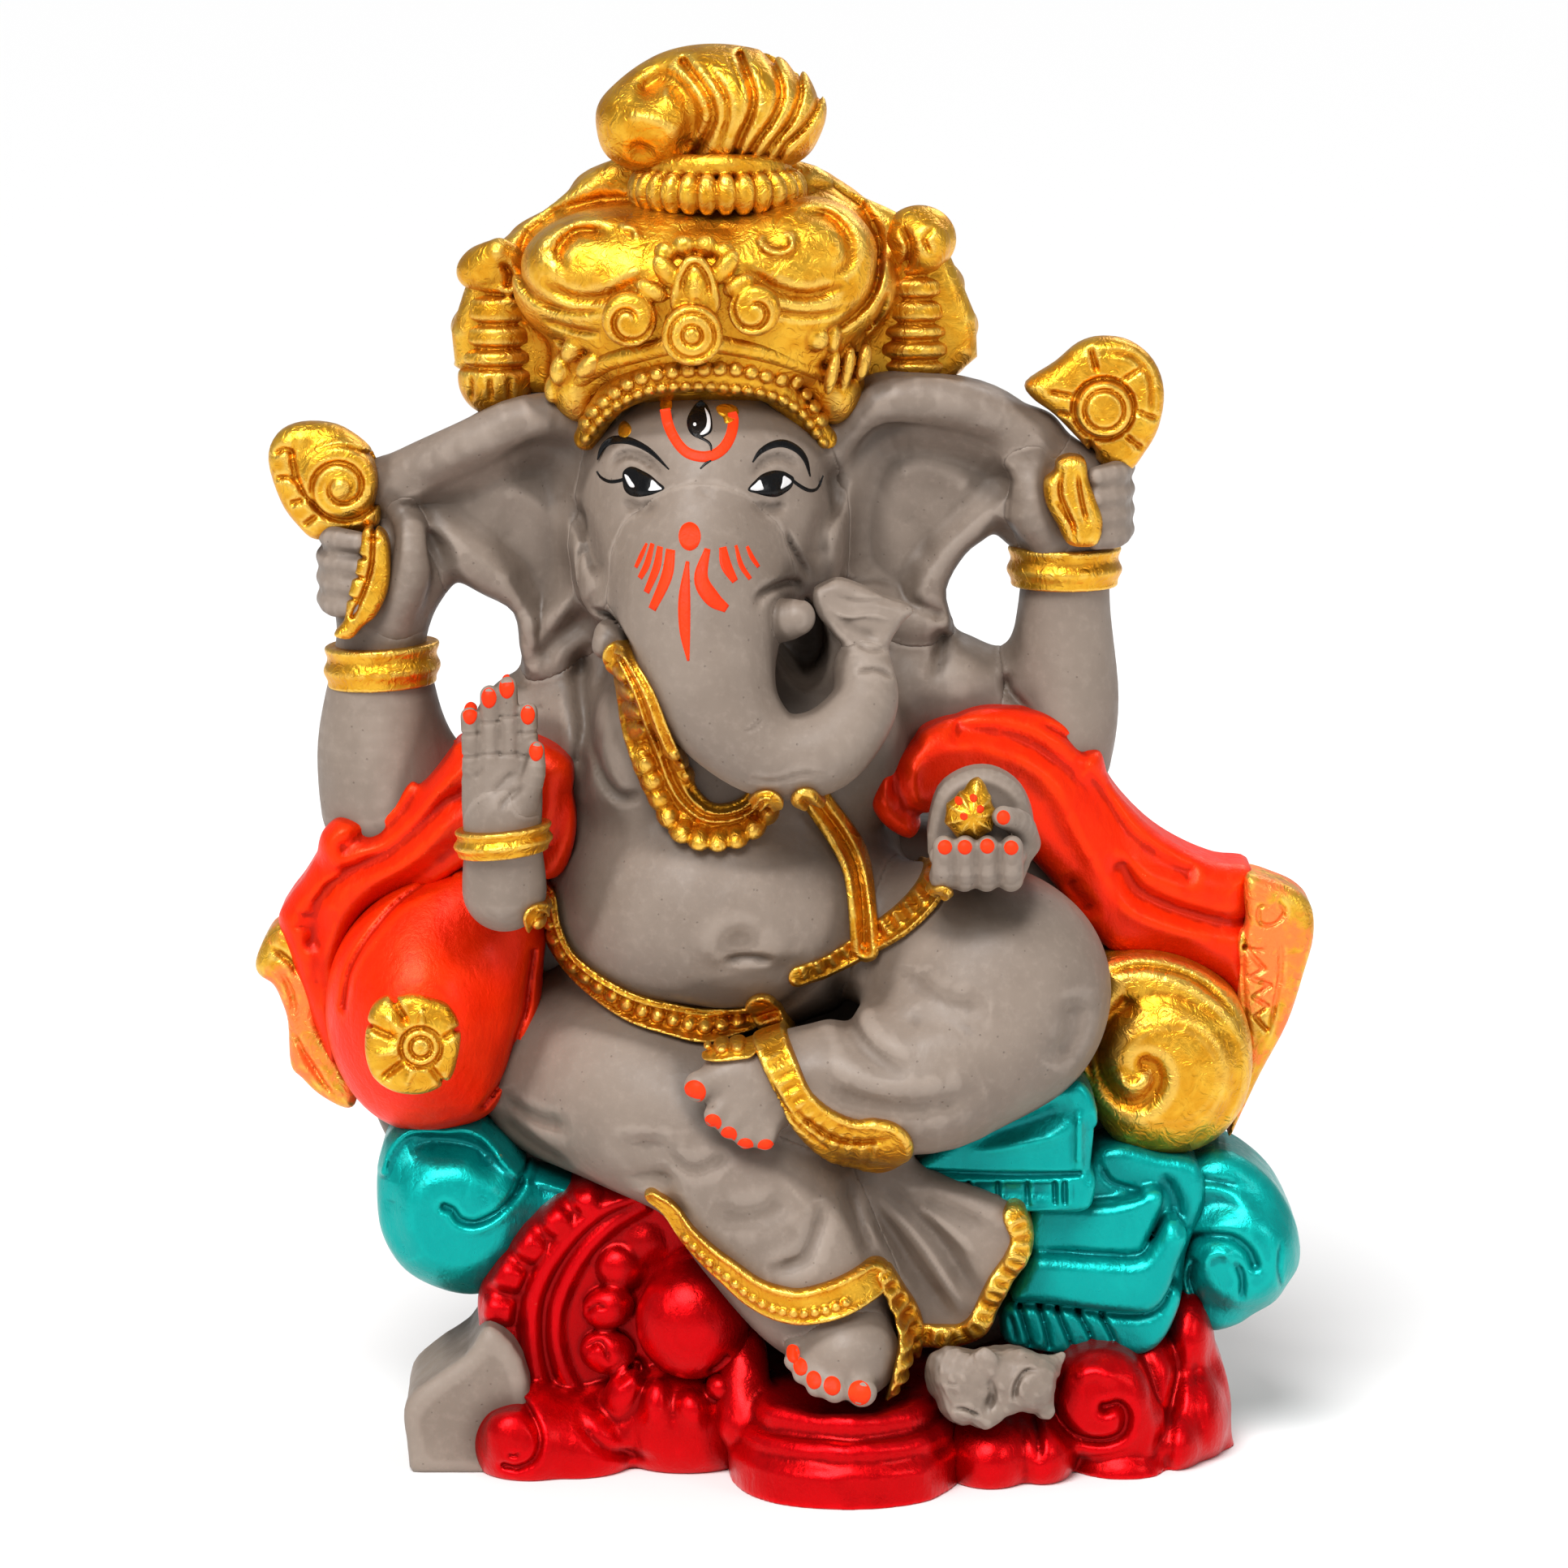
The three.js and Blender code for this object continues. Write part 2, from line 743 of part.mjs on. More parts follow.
const ROOM = 400;
const belowFloor = box([-ROOM, -ROOM, -ROOM], [ROOM, ROOM, FLOOR]);
const hollow = tier(
  [
    [HOLLOW.right, THRONE_FRONT + WALL],
    [HOLLOW.right, BACK - WALL],
    [HOLLOW.left, BACK - WALL],
    [HOLLOW.left, THRONE_FRONT + WALL],
  ],
  FLOOR - WALL,
  HOLLOW.top,
  0,
  { edge: 4 },
);

const biggest = (solid) =>
  solid.decompose().reduce((best, body) => (body.volume() > best.volume() ? body : best));

function boxesMeet(a, b) {
  const [p, q] = [a.boundingBox(), b.boundingBox()];
  return [0, 1, 2].every((k) => p.min[k] < q.max[k] && q.min[k] < p.max[k]);
}

function geometryOf(solid) {
  const { vertProperties, numProp, numVert, triVerts } = solid.getMesh();
  const position = new Float32Array(numVert * 3);
  for (let i = 0; i < numVert; i++) {
    position.set(vertProperties.subarray(i * numProp, i * numProp + 3), i * 3);
  }
  const geometry = new THREE.BufferGeometry();
  geometry.setAttribute("position", new THREE.BufferAttribute(position, 3));
  geometry.setIndex(new THREE.BufferAttribute(new Uint32Array(triVerts), 1));
  geometry.computeVertexNormals();
  return geometry;
}

const idol = new THREE.Group();
const cutters = [];
for (const { name, paint, shape } of pieces) {
  let solid = shape(0).subtract(belowFloor);
  for (const cutter of cutters) {
    if (boxesMeet(solid, cutter)) solid = solid.subtract(cutter);
  }
  if (name === "throne_back") solid = solid.subtract(hollow);
  cutters.push(shape(SLIP_JOINT));
  const mesh = new THREE.Mesh(
    geometryOf(biggest(solid)),
    new THREE.MeshStandardMaterial(paint),
  );
  mesh.name = name;
  idol.add(mesh);
}

export default idol;
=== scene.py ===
"""A painted clay Ganesha idol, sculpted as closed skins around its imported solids.

Each piece is a distance field in millimetres in the row frame: round forms blended as clay is, with
folds, beads and grooves drawn on them. A coarse skin of the field is split and drawn onto it.
"""

import math

import bpy
import numpy as np
from mathutils import Euler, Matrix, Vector


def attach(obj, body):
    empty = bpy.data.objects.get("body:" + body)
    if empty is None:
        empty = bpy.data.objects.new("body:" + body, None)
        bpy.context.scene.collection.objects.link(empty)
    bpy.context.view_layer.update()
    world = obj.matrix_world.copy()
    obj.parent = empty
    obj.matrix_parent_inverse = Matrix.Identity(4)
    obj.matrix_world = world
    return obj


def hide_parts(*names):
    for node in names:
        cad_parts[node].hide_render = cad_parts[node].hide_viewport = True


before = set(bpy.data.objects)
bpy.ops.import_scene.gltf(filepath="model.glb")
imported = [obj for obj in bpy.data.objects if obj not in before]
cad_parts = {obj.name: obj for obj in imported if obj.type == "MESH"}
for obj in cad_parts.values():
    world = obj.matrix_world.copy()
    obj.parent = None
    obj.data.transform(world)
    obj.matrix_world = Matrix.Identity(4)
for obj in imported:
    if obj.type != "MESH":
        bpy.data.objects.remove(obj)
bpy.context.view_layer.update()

MM = 0.001
FAR = 40.0  # a distance that stands for "nowhere near"
REACH = 5.0  # a form further off than this, besides its blend, is skipped
CUT_REACH = 9.0  # cuts are left out further from the surface than this
HALF_SEAM = 0.2  # a piece of the figure runs this far past the middle of its joint
BEFORE, BEHIND = -99.0, 60.0  # a y before the whole idol, and one behind it


# ---------------------------------------------------------------- distance fields


class Form:
    """A distance field with the box that holds its surface. Points are a 3 x N array."""

    def __init__(self, distance, low, high):
        self.distance = distance
        self.low = np.array(low, np.float32)
        self.high = np.array(high, np.float32)

    def __call__(self, p):
        return self.distance(p)

    def gap(self, low, high):
        return max((self.low - high).max(), (low - self.high).max())


def smin(a, b, k):
    """The lesser of a and b, rounded off where they differ by less than k."""
    h = np.clip(0.5 + 0.5 * (b - a) / k, 0, 1)
    return b + (a - b) * h - k * h * (1 - h)


def smax(a, b, k):
    return -smin(-a, -b, k)


def blend(k, *forms):
    """The forms joined, with a fillet of about k at their creases."""

    def distance(p):
        low, high = p.min(1), p.max(1)
        out = None
        for form in forms:
            if form.gap(low, high) > REACH + k:
                continue
            d = form(p)
            out = d if out is None else smin(out, d, k)
        return np.full(p.shape[1], FAR, np.float32) if out is None else out

    lows = np.min([f.low for f in forms], 0) - k / 4
    return Form(distance, lows, np.max([f.high for f in forms], 0) + k / 4)


def within(form, zone, k):
    """form, kept only where zone is."""
    return Form(
        lambda p: smax(form(p), zone(p), k),
        np.maximum(form.low, zone.low),
        np.minimum(form.high, zone.high),
    )


def with_cuts(p, d, cuts):
    """The distances d at p with the cuts that reach them added."""
    near = np.abs(d) < CUT_REACH
    if not near.any():
        return d
    q = p[:, near]
    low, high = q.min(1), q.max(1)
    change = 0
    for cut in cuts:
        box = getattr(cut, "box", None)
        if box is None or ((box[0] < high) & (box[1] > low)).all():
            change = change + cut(q)
    d = d.copy()
    d[near] += change
    return d


def carved(form, *cuts):
    """form with the sum of the cuts added to its distance: above 0 sinks, below 0 swells."""
    room = 2.0  # more than any cut swells
    return Form(lambda p: with_cuts(p, form(p), cuts), form.low - room, form.high + room)


def minus(form, tool, k):
    """form with tool taken out of it."""
    return Form(lambda p: smax(form(p), -tool(p), k), form.low, form.high)


def turned(degrees):
    """The matrix of turns about X, Y and Z."""
    return np.array(Euler([math.radians(a) for a in degrees]).to_matrix(), np.float32)


def egg(centre, radii, turn=(0, 0, 0)):
    """An ellipsoid, turned by degrees about X, Y and Z."""
    c, r, m = np.array(centre, np.float32), np.array(radii, np.float32), turned(turn)

    def distance(p):
        q = m.T @ (p - c[:, None])
        a = q / r[:, None]
        k0 = np.sqrt((a * a).sum(0))
        b = a / r[:, None]
        k1 = np.sqrt((b * b).sum(0)) + 1e-6
        return k0 * (k0 - 1) / k1

    half = np.sqrt((m * r[None, :]) ** 2 @ np.ones(3))
    return Form(distance, c - half, c + half)


def spline(points, per=4, closed=False):
    """Catmull-Rom through rows of numbers."""
    pts = np.array(points, float)
    n = len(pts)
    if closed:
        pts = np.vstack([pts[-1], pts, pts[:2]])
    else:
        pts = np.vstack([2 * pts[0] - pts[1], pts, 2 * pts[-1] - pts[-2]])
    out = []
    for i in range(n if closed else n - 1):
        a, b, c, d = pts[i : i + 4]
        for t in np.arange(per) / per:
            out.append(
                0.5
                * (2 * b + (c - a) * t + (2 * a - 5 * b + 4 * c - d) * t**2
                    + (3 * b - a - 3 * c + d) * t**3)
            )
    if not closed:
        out.append(pts[-2])
    return np.array(out, np.float32)


def limb(*path, per=None, flat=1.0):
    """A round-ended tube through [x, y, z, radius]. flat squeezes its section along Y."""
    stout = max(row[3] for row in path) > 6.5
    pts = spline(path, per or (6 if stout else 3))
    join = (lambda a, b: smin(a, b, 0.7)) if stout else np.minimum
    stretch = np.array([1, 1 / flat, 1], np.float32)
    pts[:, :3] *= stretch

    def distance(p):
        q = p * stretch[:, None]
        out = None
        for a, b in zip(pts[:-1], pts[1:]):
            ab = b[:3] - a[:3]
            rel = q - a[:3, None]
            t = np.clip((ab @ rel) / max(float(ab @ ab), 1e-6), 0, 1)
            rel -= ab[:, None] * t
            d = np.sqrt((rel * rel).sum(0)) - (a[3] + (b[3] - a[3]) * t)
            out = d if out is None else join(out, d)
        return out * flat

    core = pts[:, :3] / stretch
    r = pts[:, 3:4] * np.array([1, flat, 1])
    return Form(distance, (core - r).min(0), (core + r).max(0))


def flat_distance(u, v, polygon):
    """Signed distance in a plane to a closed polygon."""
    best = np.full(u.shape, 1e9, np.float32)
    inside = np.zeros(u.shape, bool)
    for (ax, ay), (bx, by) in zip(polygon, np.roll(polygon, -1, 0)):
        ex, ey = bx - ax, by - ay
        wx, wy = u - ax, v - ay
        t = np.clip((wx * ex + wy * ey) / max(ex * ex + ey * ey, 1e-9), 0, 1)
        best = np.minimum(best, (wx - ex * t) ** 2 + (wy - ey * t) ** 2)
        if ay != by:
            crosses = ((ay > v) != (by > v)) & (u < ex * (v - ay) / (by - ay) + ax)
            inside ^= crosses
    d = np.sqrt(best)
    return np.where(inside, -d, d)


def section(a, b, soft):
    """Distance to a section from those to its two pairs of sides, its corners rounded by soft."""
    a, b = a + soft, b + soft
    outside = np.sqrt(np.maximum(a, 0) ** 2 + np.maximum(b, 0) ** 2)
    return np.minimum(np.maximum(a, b), 0) + outside - soft


def plate(outline, back, front, soft=2.0, bow=None):
    """A slab that faces the front, from outline in x and z. bow(x, z) pushes it along Y."""
    poly = spline(outline, closed=True)
    mid, half = (back + front) / 2, (back - front) / 2

    def distance(p):
        y = p[1] - mid
        if bow is not None:
            y = y - bow(p[0], p[2])
        return section(flat_distance(p[0], p[2], poly), np.abs(y) - half, soft)

    spare = 0 if bow is None else 12
    low = [poly[:, 0].min(), front - spare, poly[:, 1].min()]
    return Form(distance, low, [poly[:, 0].max(), back + spare, poly[:, 1].max()])


def tier(outline, low, high, soft):
    """A slab that lies flat, from outline in x and y."""
    poly = spline(outline, 7, closed=True)
    mid, half = (low + high) / 2, (high - low) / 2

    def distance(p):
        return section(flat_distance(p[0], p[1], poly), np.abs(p[2] - mid) - half, soft)

    return Form(distance, [*poly.min(0), low], [*poly.max(0), high])


def drum(centre, radius, half, soft, dome):
    """A rounded cylinder along Y, with its front domed."""
    cx, cy, cz = centre

    def distance(p):
        rho = np.hypot(p[0] - cx, p[2] - cz)
        rise = dome * (1 - np.minimum(rho / radius, 1) ** 2)
        y = p[1] - cy
        return section(rho - radius, np.maximum(-y - half - rise, y - half), soft)

    low = [cx - radius, cy - half - dome, cz - radius]
    return Form(distance, low, [cx + radius, cy + half, cz + radius])


def hoop(centre, radius, thick, axis, squash):
    """A ring of round section. squash shortens it along Y."""
    c = np.array(centre, np.float32)
    n = np.array(axis, np.float32) / np.linalg.norm(axis)

    def distance(p):
        q = p - c[:, None]
        q = np.stack([q[0], q[1] / squash, q[2]])
        h = n @ q
        flat = q - n[:, None] * h
        return np.hypot(np.sqrt((flat * flat).sum(0)) - radius, h) - thick

    size = radius + thick
    half = np.array([size, size * squash, size * 0.6 + thick])
    return Form(distance, c - half, c + half)


# ---------------------------------------------------------------- drawing on a form


def stroke(u, v, line):
    """For points in a plane: distance to a polyline, arc length along it, and side (+ is left)."""
    best = np.full(u.shape, 1e9, np.float32)
    along = np.zeros(u.shape, np.float32)
    side = np.ones(u.shape, np.float32)
    done = 0.0
    for (ax, ay), (bx, by) in zip(line[:-1], line[1:]):
        ex, ey = bx - ax, by - ay
        wx, wy = u - ax, v - ay
        size = math.hypot(ex, ey) + 1e-9
        t = np.clip((wx * ex + wy * ey) / size**2, 0, 1)
        d = (wx - ex * t) ** 2 + (wy - ey * t) ** 2
        closer = d < best
        best = np.where(closer, d, best)
        along = np.where(closer, done + size * t, along)
        side = np.where(closer, np.sign(ex * wy - ey * wx), side)
        done += size
    return np.sqrt(best), along, side, done


def hump(t, at, wide):
    """1 where t is at, falling to nothing about 2 wide from there."""
    return np.exp(-(((t - at) / wide) ** 2))


def crease(points, wide, deep, front=0.0, near=BEFORE, ends=True, per=4):
    """A groove (deep above 0) or ridge (below 0) drawn in x and z, where y is from near to front.
    It fades towards its ends unless ends is False."""
    line = spline(points, per)
    low, high = line.min(0) - 3 * wide, line.max(0) + 3 * wide

    def cut(p):
        out = np.zeros(p.shape[1], np.float32)
        here = (p[0] > low[0]) & (p[0] < high[0]) & (p[2] > low[1]) & (p[2] < high[1])
        here &= (p[1] < front) & (p[1] > near)
        if here.any():
            d, along, _, total = stroke(p[0, here], p[2, here], line)
            fade = np.clip(np.minimum(along, total - along) / (0.25 * total) + 0.05, 0, 1) if ends else 1
            out[here] = deep * fade * hump(d, 0, wide)
        return out

    cut.box = (np.array([low[0], near, low[1]]), np.array([high[0], front, high[1]]))
    return cut


def creases(lines, wide, deep, front=0.0, near=BEFORE, ends=True):
    """Several creases of one width and depth."""
    return [crease(line, wide, deep, front, near, ends) for line in lines]


def dimple(centre, wide, deep):
    """A round hollow (deep above 0) or swelling (below 0)."""
    c = np.array(centre, np.float32)[:, None]
    return lambda p: deep * np.exp(-((p - c) ** 2).sum(0) / wide**2)


def wobble(size, height, seed):
    """The unevenness of hand-smoothed clay."""
    rng = np.random.default_rng(seed)
    waves = rng.normal(size=(7, 3)).astype(np.float32) * (2 / size)
    shift = rng.uniform(0, 6.28, 7).astype(np.float32)
    return lambda p: height * np.sin(waves @ p + shift[:, None]).mean(0)


def whorl(centre, pitch, wide, deep, phase, sense, outer, inner, front=BEHIND):
    """A spiral groove drawn in x and z, one turn for each pitch outward from inner to outer."""
    cx, cz = centre

    def cut(p):
        x, z = p[0] - cx, p[2] - cz
        rho = np.hypot(x, z)
        turn = sense * np.arctan2(z, x) / (2 * math.pi) + phase
        off = rho / pitch - turn
        d = np.abs(off - np.round(off)) * pitch
        keep = np.clip(outer - rho, 0, 1) * np.clip(rho - inner, 0, 1) * (p[1] < front)
        return deep * keep * hump(d, 0, wide)

    return cut


def band(host, points, wide, thick, relief, sink=1.5, soft=0.6, front=BEHIND):
    """A strip laid on host along points in x and z. wide and thick may be numbers or functions of
    the share of the way along. relief(along, across) adds to its height."""
    line = spline(points)
    reach = wide if not callable(wide) else max(wide(t) for t in np.linspace(0, 1, 9))
    low = [line[:, 0].min() - reach, host.low[1] - 4, line[:, 1].min() - reach]
    high = [line[:, 0].max() + reach, min(host.high[1], front), line[:, 1].max() + reach]

    def distance(p):
        d, along, side, total = stroke(p[0], p[2], line)
        share = along / total
        half = (wide(share) if callable(wide) else wide) / 2
        height = thick(share) if callable(thick) else thick
        height = height + relief(along, d * side / np.maximum(half, 0.1))
        skin = host(p)
        out = smax(d - half, skin - height, soft)
        return smax(smax(out, -skin - sink, 0.5), p[1] - front, 0.5)

    return Form(distance, low, high)


def beads(host, points, spacing, radius, lift, front):
    """A row of beads half sunk in host along points in x and z."""
    line = spline(points, 5)
    low = [line[:, 0].min() - radius, host.low[1] - radius - 2, line[:, 1].min() - radius]
    high = [line[:, 0].max() + radius, min(host.high[1], front), line[:, 1].max() + radius]

    def distance(p):
        d, along, _, total = stroke(p[0], p[2], line)
        count = max(round(total / spacing), 1)
        step = total / count
        a = (np.mod(along, step) - step / 2) * 0.95
        out = np.sqrt(d**2 + a**2 + (host(p) - lift) ** 2) - radius
        return smax(out, p[1] - front, 0.5)

    return Form(distance, low, high)


# ---------------------------------------------------------------- skins


def surface_nets(form, low, high, h):
    """A coarse skin of quads at the form's zero."""
    low = np.array(low, np.float32)
    cells = np.ceil((np.array(high) - low) / h).astype(int) + 1
    block = 14  # cells along a block that is worked out, or skipped, as one
    blocks = -(-(cells + 1) // block)
    shape = blocks * block
    grid = np.full(shape, FAR, np.float32)
    at = np.stack(np.meshgrid(*[np.arange(b) for b in blocks], indexing="ij")).reshape(3, -1)
    centres = low[:, None] + (at * block + block / 2).astype(np.float32) * h
    at_centre = form(centres)
    reach = 2.2 * 0.87 * block * h + 3  # a block whose middle is further off has no surface in it
    inner = np.stack(np.meshgrid(*[np.arange(block)] * 3, indexing="ij")).reshape(3, -1)
    for n in range(at.shape[1]):
        i, j, k = at[:, n] * block
        if abs(at_centre[n]) > reach:
            grid[i : i + block, j : j + block, k : k + block] = at_centre[n]
            continue
        p = low[:, None] + (inner + np.array([[i], [j], [k]])).astype(np.float32) * h
        grid[i : i + block, j : j + block, k : k + block] = form(p).reshape(block, block, block)
    inside = grid < 0
    corners = [(a, b, c) for a in (0, 1) for b in (0, 1) for c in (0, 1)]
    nx, ny, nz = np.array(grid.shape) - 1
    count = sum(inside[a : a + nx, b : b + ny, c : c + nz].astype(np.int8) for a, b, c in corners)
    active = (count > 0) & (count < 8)
    ids = np.full(active.shape, -1, np.int64)
    ids[active] = np.arange(active.sum())
    ci, cj, ck = np.nonzero(active)
    total = np.zeros((len(ci), 3), np.float32)
    hits = np.zeros(len(ci), np.float32)
    for axis in range(3):
        others = [a for a in range(3) if a != axis]
        for s in (0, 1):
            for t in (0, 1):
                start = np.zeros(3, int)
                start[others[0]], start[others[1]] = s, t
                end = start.copy()
                end[axis] = 1
                f0 = grid[ci + start[0], cj + start[1], ck + start[2]]
                f1 = grid[ci + end[0], cj + end[1], ck + end[2]]
                m = (f0 < 0) != (f1 < 0)
                w = np.where(m, f0 / np.where(m, f0 - f1, 1), 0)
                for d in range(3):
                    total[:, d] += m * (start[d] + w * (end[d] - start[d]))
                hits += m
    verts = low + h * (np.stack([ci, cj, ck], 1) + total / hits[:, None])
    quads = []
    for axis in range(3):
        u, v = [(1, 2), (2, 0), (0, 1)][axis]
        first = [slice(1, -1)] * 3
        first[axis] = slice(0, -1)
        second = list(first)
        second[axis] = slice(1, None)
        a, b = inside[tuple(first)], inside[tuple(second)]
        for sign, hit in ((1, a & ~b), (-1, ~a & b)):
            e = np.stack(np.nonzero(hit), 1)
            for d in (u, v):
                e[:, d] += 1
            ring = []
            for du, dv in ((0, 0), (-1, 0), (-1, -1), (0, -1)):
                c = e.copy()
                c[:, u] += du
                c[:, v] += dv
                ring.append(ids[c[:, 0], c[:, 1], c[:, 2]])
            quad = np.stack(ring, 1)
            quads.append(quad if sign > 0 else quad[:, ::-1])
    return verts, np.concatenate(quads)


def vertex_normals(verts, quads):
    """Unit normals, weighted by the area of the faces round each vertex."""
    a, b, c, d = (verts[quads[:, i]] for i in range(4))
    face = np.cross(c - a, d - b)
    out = np.zeros_like(verts)
    for i in range(4):
        for k in range(3):
            out[:, k] += np.bincount(quads[:, i], face[:, k], len(verts))
    return out / (np.linalg.norm(out, axis=1, keepdims=True) + 1e-9)


def averages(verts, quads):
    """Each vertex moved to the middle of its neighbours."""
    total = np.zeros_like(verts)
    hits = np.bincount(quads.ravel(), minlength=len(verts)) * 2.0
    for i in range(4):
        near = verts[quads[:, i - 1]] + verts[quads[:, (i + 1) % 4]]
        for k in range(3):
            total[:, k] += np.bincount(quads[:, i], near[:, k], len(verts))
    return total / np.maximum(hits, 1)[:, None]


def evaluate(form, verts):
    """form at many points, in runs short enough for far forms to be skipped."""
    side, most = 9, 6000  # mm of the cubes that sort the points, and about how many make a run
    p = np.ascontiguousarray(verts.T.astype(np.float32))
    order = np.lexsort(p[::-1] // side)
    out = np.empty(p.shape[1], np.float32)
    for run in np.array_split(order, max(1, p.shape[1] // most)):
        out[run] = form(np.ascontiguousarray(p[:, run]))
    return out


def pull(form, verts, quads, most):
    """Moves the vertices along their normals onto the form's zero, in two steps of most or less."""
    for _ in range(2):
        n = vertex_normals(verts, quads)
        d0 = np.clip(evaluate(form, verts), -most, most)
        probe = verts - n * d0[:, None]
        d1 = evaluate(form, probe)
        told = np.abs(d0 - d1) > 0.25 * np.abs(d0)  # where the probe shows how steep the field is
        gain = np.where(told, d0 / (d0 - d1 + 1e-12), 1)
        step = np.clip(d0 * np.clip(gain, 0.4, 2.0), -most, most)
        verts = verts - n * step[:, None]
    return verts


def split(verts, quads):
    """Each quad in four."""
    n = len(verts)
    edges = np.stack([quads, np.roll(quads, -1, 1)], 2).reshape(-1, 2)
    key = edges.min(1) * n + edges.max(1)
    unique, where = np.unique(key, return_inverse=True)
    middle = (verts[unique // n] + verts[unique % n]) / 2
    centre = verts[quads].mean(1)
    e = where.reshape(-1, 4) + n
    c = np.arange(len(quads)) + n + len(unique)
    parts = [np.stack([quads[:, i], e[:, i], c, e[:, i - 1]], 1) for i in range(4)]
    return np.vstack([verts, middle, centre]), np.concatenate(parts)


def skin(form, pitch):
    """The form's closed skin, at a coarse pitch that is then halved."""
    pad = 2.5 * pitch
    verts, quads = surface_nets(form, form.low - pad, form.high + pad, pitch)
    verts = pull(form, 0.5 * verts + 0.5 * averages(verts, quads), quads, pitch)
    verts, quads = split(verts, quads)
    verts = 0.6 * verts + 0.4 * averages(verts, quads)
    verts = pull(form, verts, quads, pitch / 2)
    return verts, quads


def hollowness(verts, quads):
    """From -1 on ridges to 1 in crevices: the paints darken crevices with it as painted shade, lighten
    ridges with it as painted highlight, and chip the enamels more on ridges.
    """
    n = vertex_normals(verts, quads)
    out = np.zeros(len(verts))
    smooth = verts
    for rounds in (2, 6):
        for _ in range(rounds):
            smooth = averages(smooth, quads)
        out += ((smooth - verts) * n).sum(1)
    steep = np.percentile(np.abs(out), 92) + 1e-6  # all but the sharpest edges lie below it
    return np.clip(out / steep, -1, 1)


def crowding(skins):
    """For each skin, how closely other surfaces stand before each vertex, from 0 in the open to 1 in
    a deep fold: the paints darken there with it as painted shade."""
    low, cell, shape = np.array([-130, -84, -20.0]), 2.0, (128, 72, 172)  # cells round the idol
    bare, full = 0.10, 0.36  # crowding before an open face, and in the deepest folds
    total = np.zeros(np.prod(shape))
    for verts, quads in skins:
        a, b, c, d = (verts[quads[:, i]] for i in range(4))
        area = np.linalg.norm(np.cross(c - a, d - b), axis=1) / 2
        at = ((a + b + c + d) / 4 - low) / cell
        total += np.bincount(np.ravel_multi_index(at.astype(int).T, shape), area, len(total))
    waves = np.fft.rfftn(total.reshape(shape) / cell**3)
    fx, fy, fz = (np.fft.fftfreq(n, cell) for n in shape)
    fz = np.abs(fz[: shape[2] // 2 + 1])
    square = fx[:, None, None] ** 2 + fy[None, :, None] ** 2 + fz[None, None, :] ** 2
    shades = [np.zeros(len(verts)) for verts, _ in skins]
    normals = [vertex_normals(verts, quads) for verts, quads in skins]
    for reach in (5.0, 9.0, 15.0):
        spread = 0.6 * reach
        near = np.fft.irfftn(waves * np.exp(-2 * (math.pi * spread) ** 2 * square), shape) * spread
        for (verts, _), n, shade in zip(skins, normals, shades):
            at = (verts + n * reach - low) / cell - 0.5
            base = np.clip(np.floor(at).astype(int), 0, np.array(shape) - 2)
            part = np.clip(at - base, 0, 1)
            for corner in np.ndindex(2, 2, 2):
                weight = np.prod(np.where(corner, part, 1 - part), axis=1)
                shade += weight * near[tuple((base + corner).T)] / 3
    return [np.clip((shade - bare) / (full - bare), 0, 1) for shade in shades]


# ---------------------------------------------------------------- pieces

SHAPES = {}  # name: (form, material slot, pitch in mm)

ABOVE_FLOOR = Form(lambda p: 0.05 - p[2], (-500, -500, 0), (500, 500, 500))


def piece(name, slot, form, pitch):
    """Puts a piece on the list, cut off level with the floor."""
    SHAPES[name] = (within(form, ABOVE_FLOOR, 0.4), slot, pitch)


def rings(centre, radii, wide, deep, front=0.0):
    """Round grooves about a centre in x and z."""
    cx, cz = centre

    def cut(p):
        rho = np.hypot(p[0] - cx, p[2] - cz)
        return deep * sum(hump(rho, r, wide) for r in radii) * (p[1] < front)

    return cut


def lines_at(heights, wide, deep):
    """Level grooves all round at some heights."""
    return lambda p: sum(deep * hump(p[2], z, wide) for z in heights)


def dish(outline, rim, fade, deep, front, near):
    """Sinks what lies inside an outline in x and z, from rim inward."""
    poly = spline(outline, 3, closed=True)

    def cut(p):
        out = np.zeros(p.shape[1], np.float32)
        here = (p[1] < front) & (p[1] > near)
        if here.any():
            t = np.clip((-flat_distance(p[0, here], p[2, here], poly) - rim) / fade, 0, 1)
            out[here] = deep * t * t * (3 - 2 * t)
        return out

    return cut


# ---------------------------------------------------------------- the clay figure

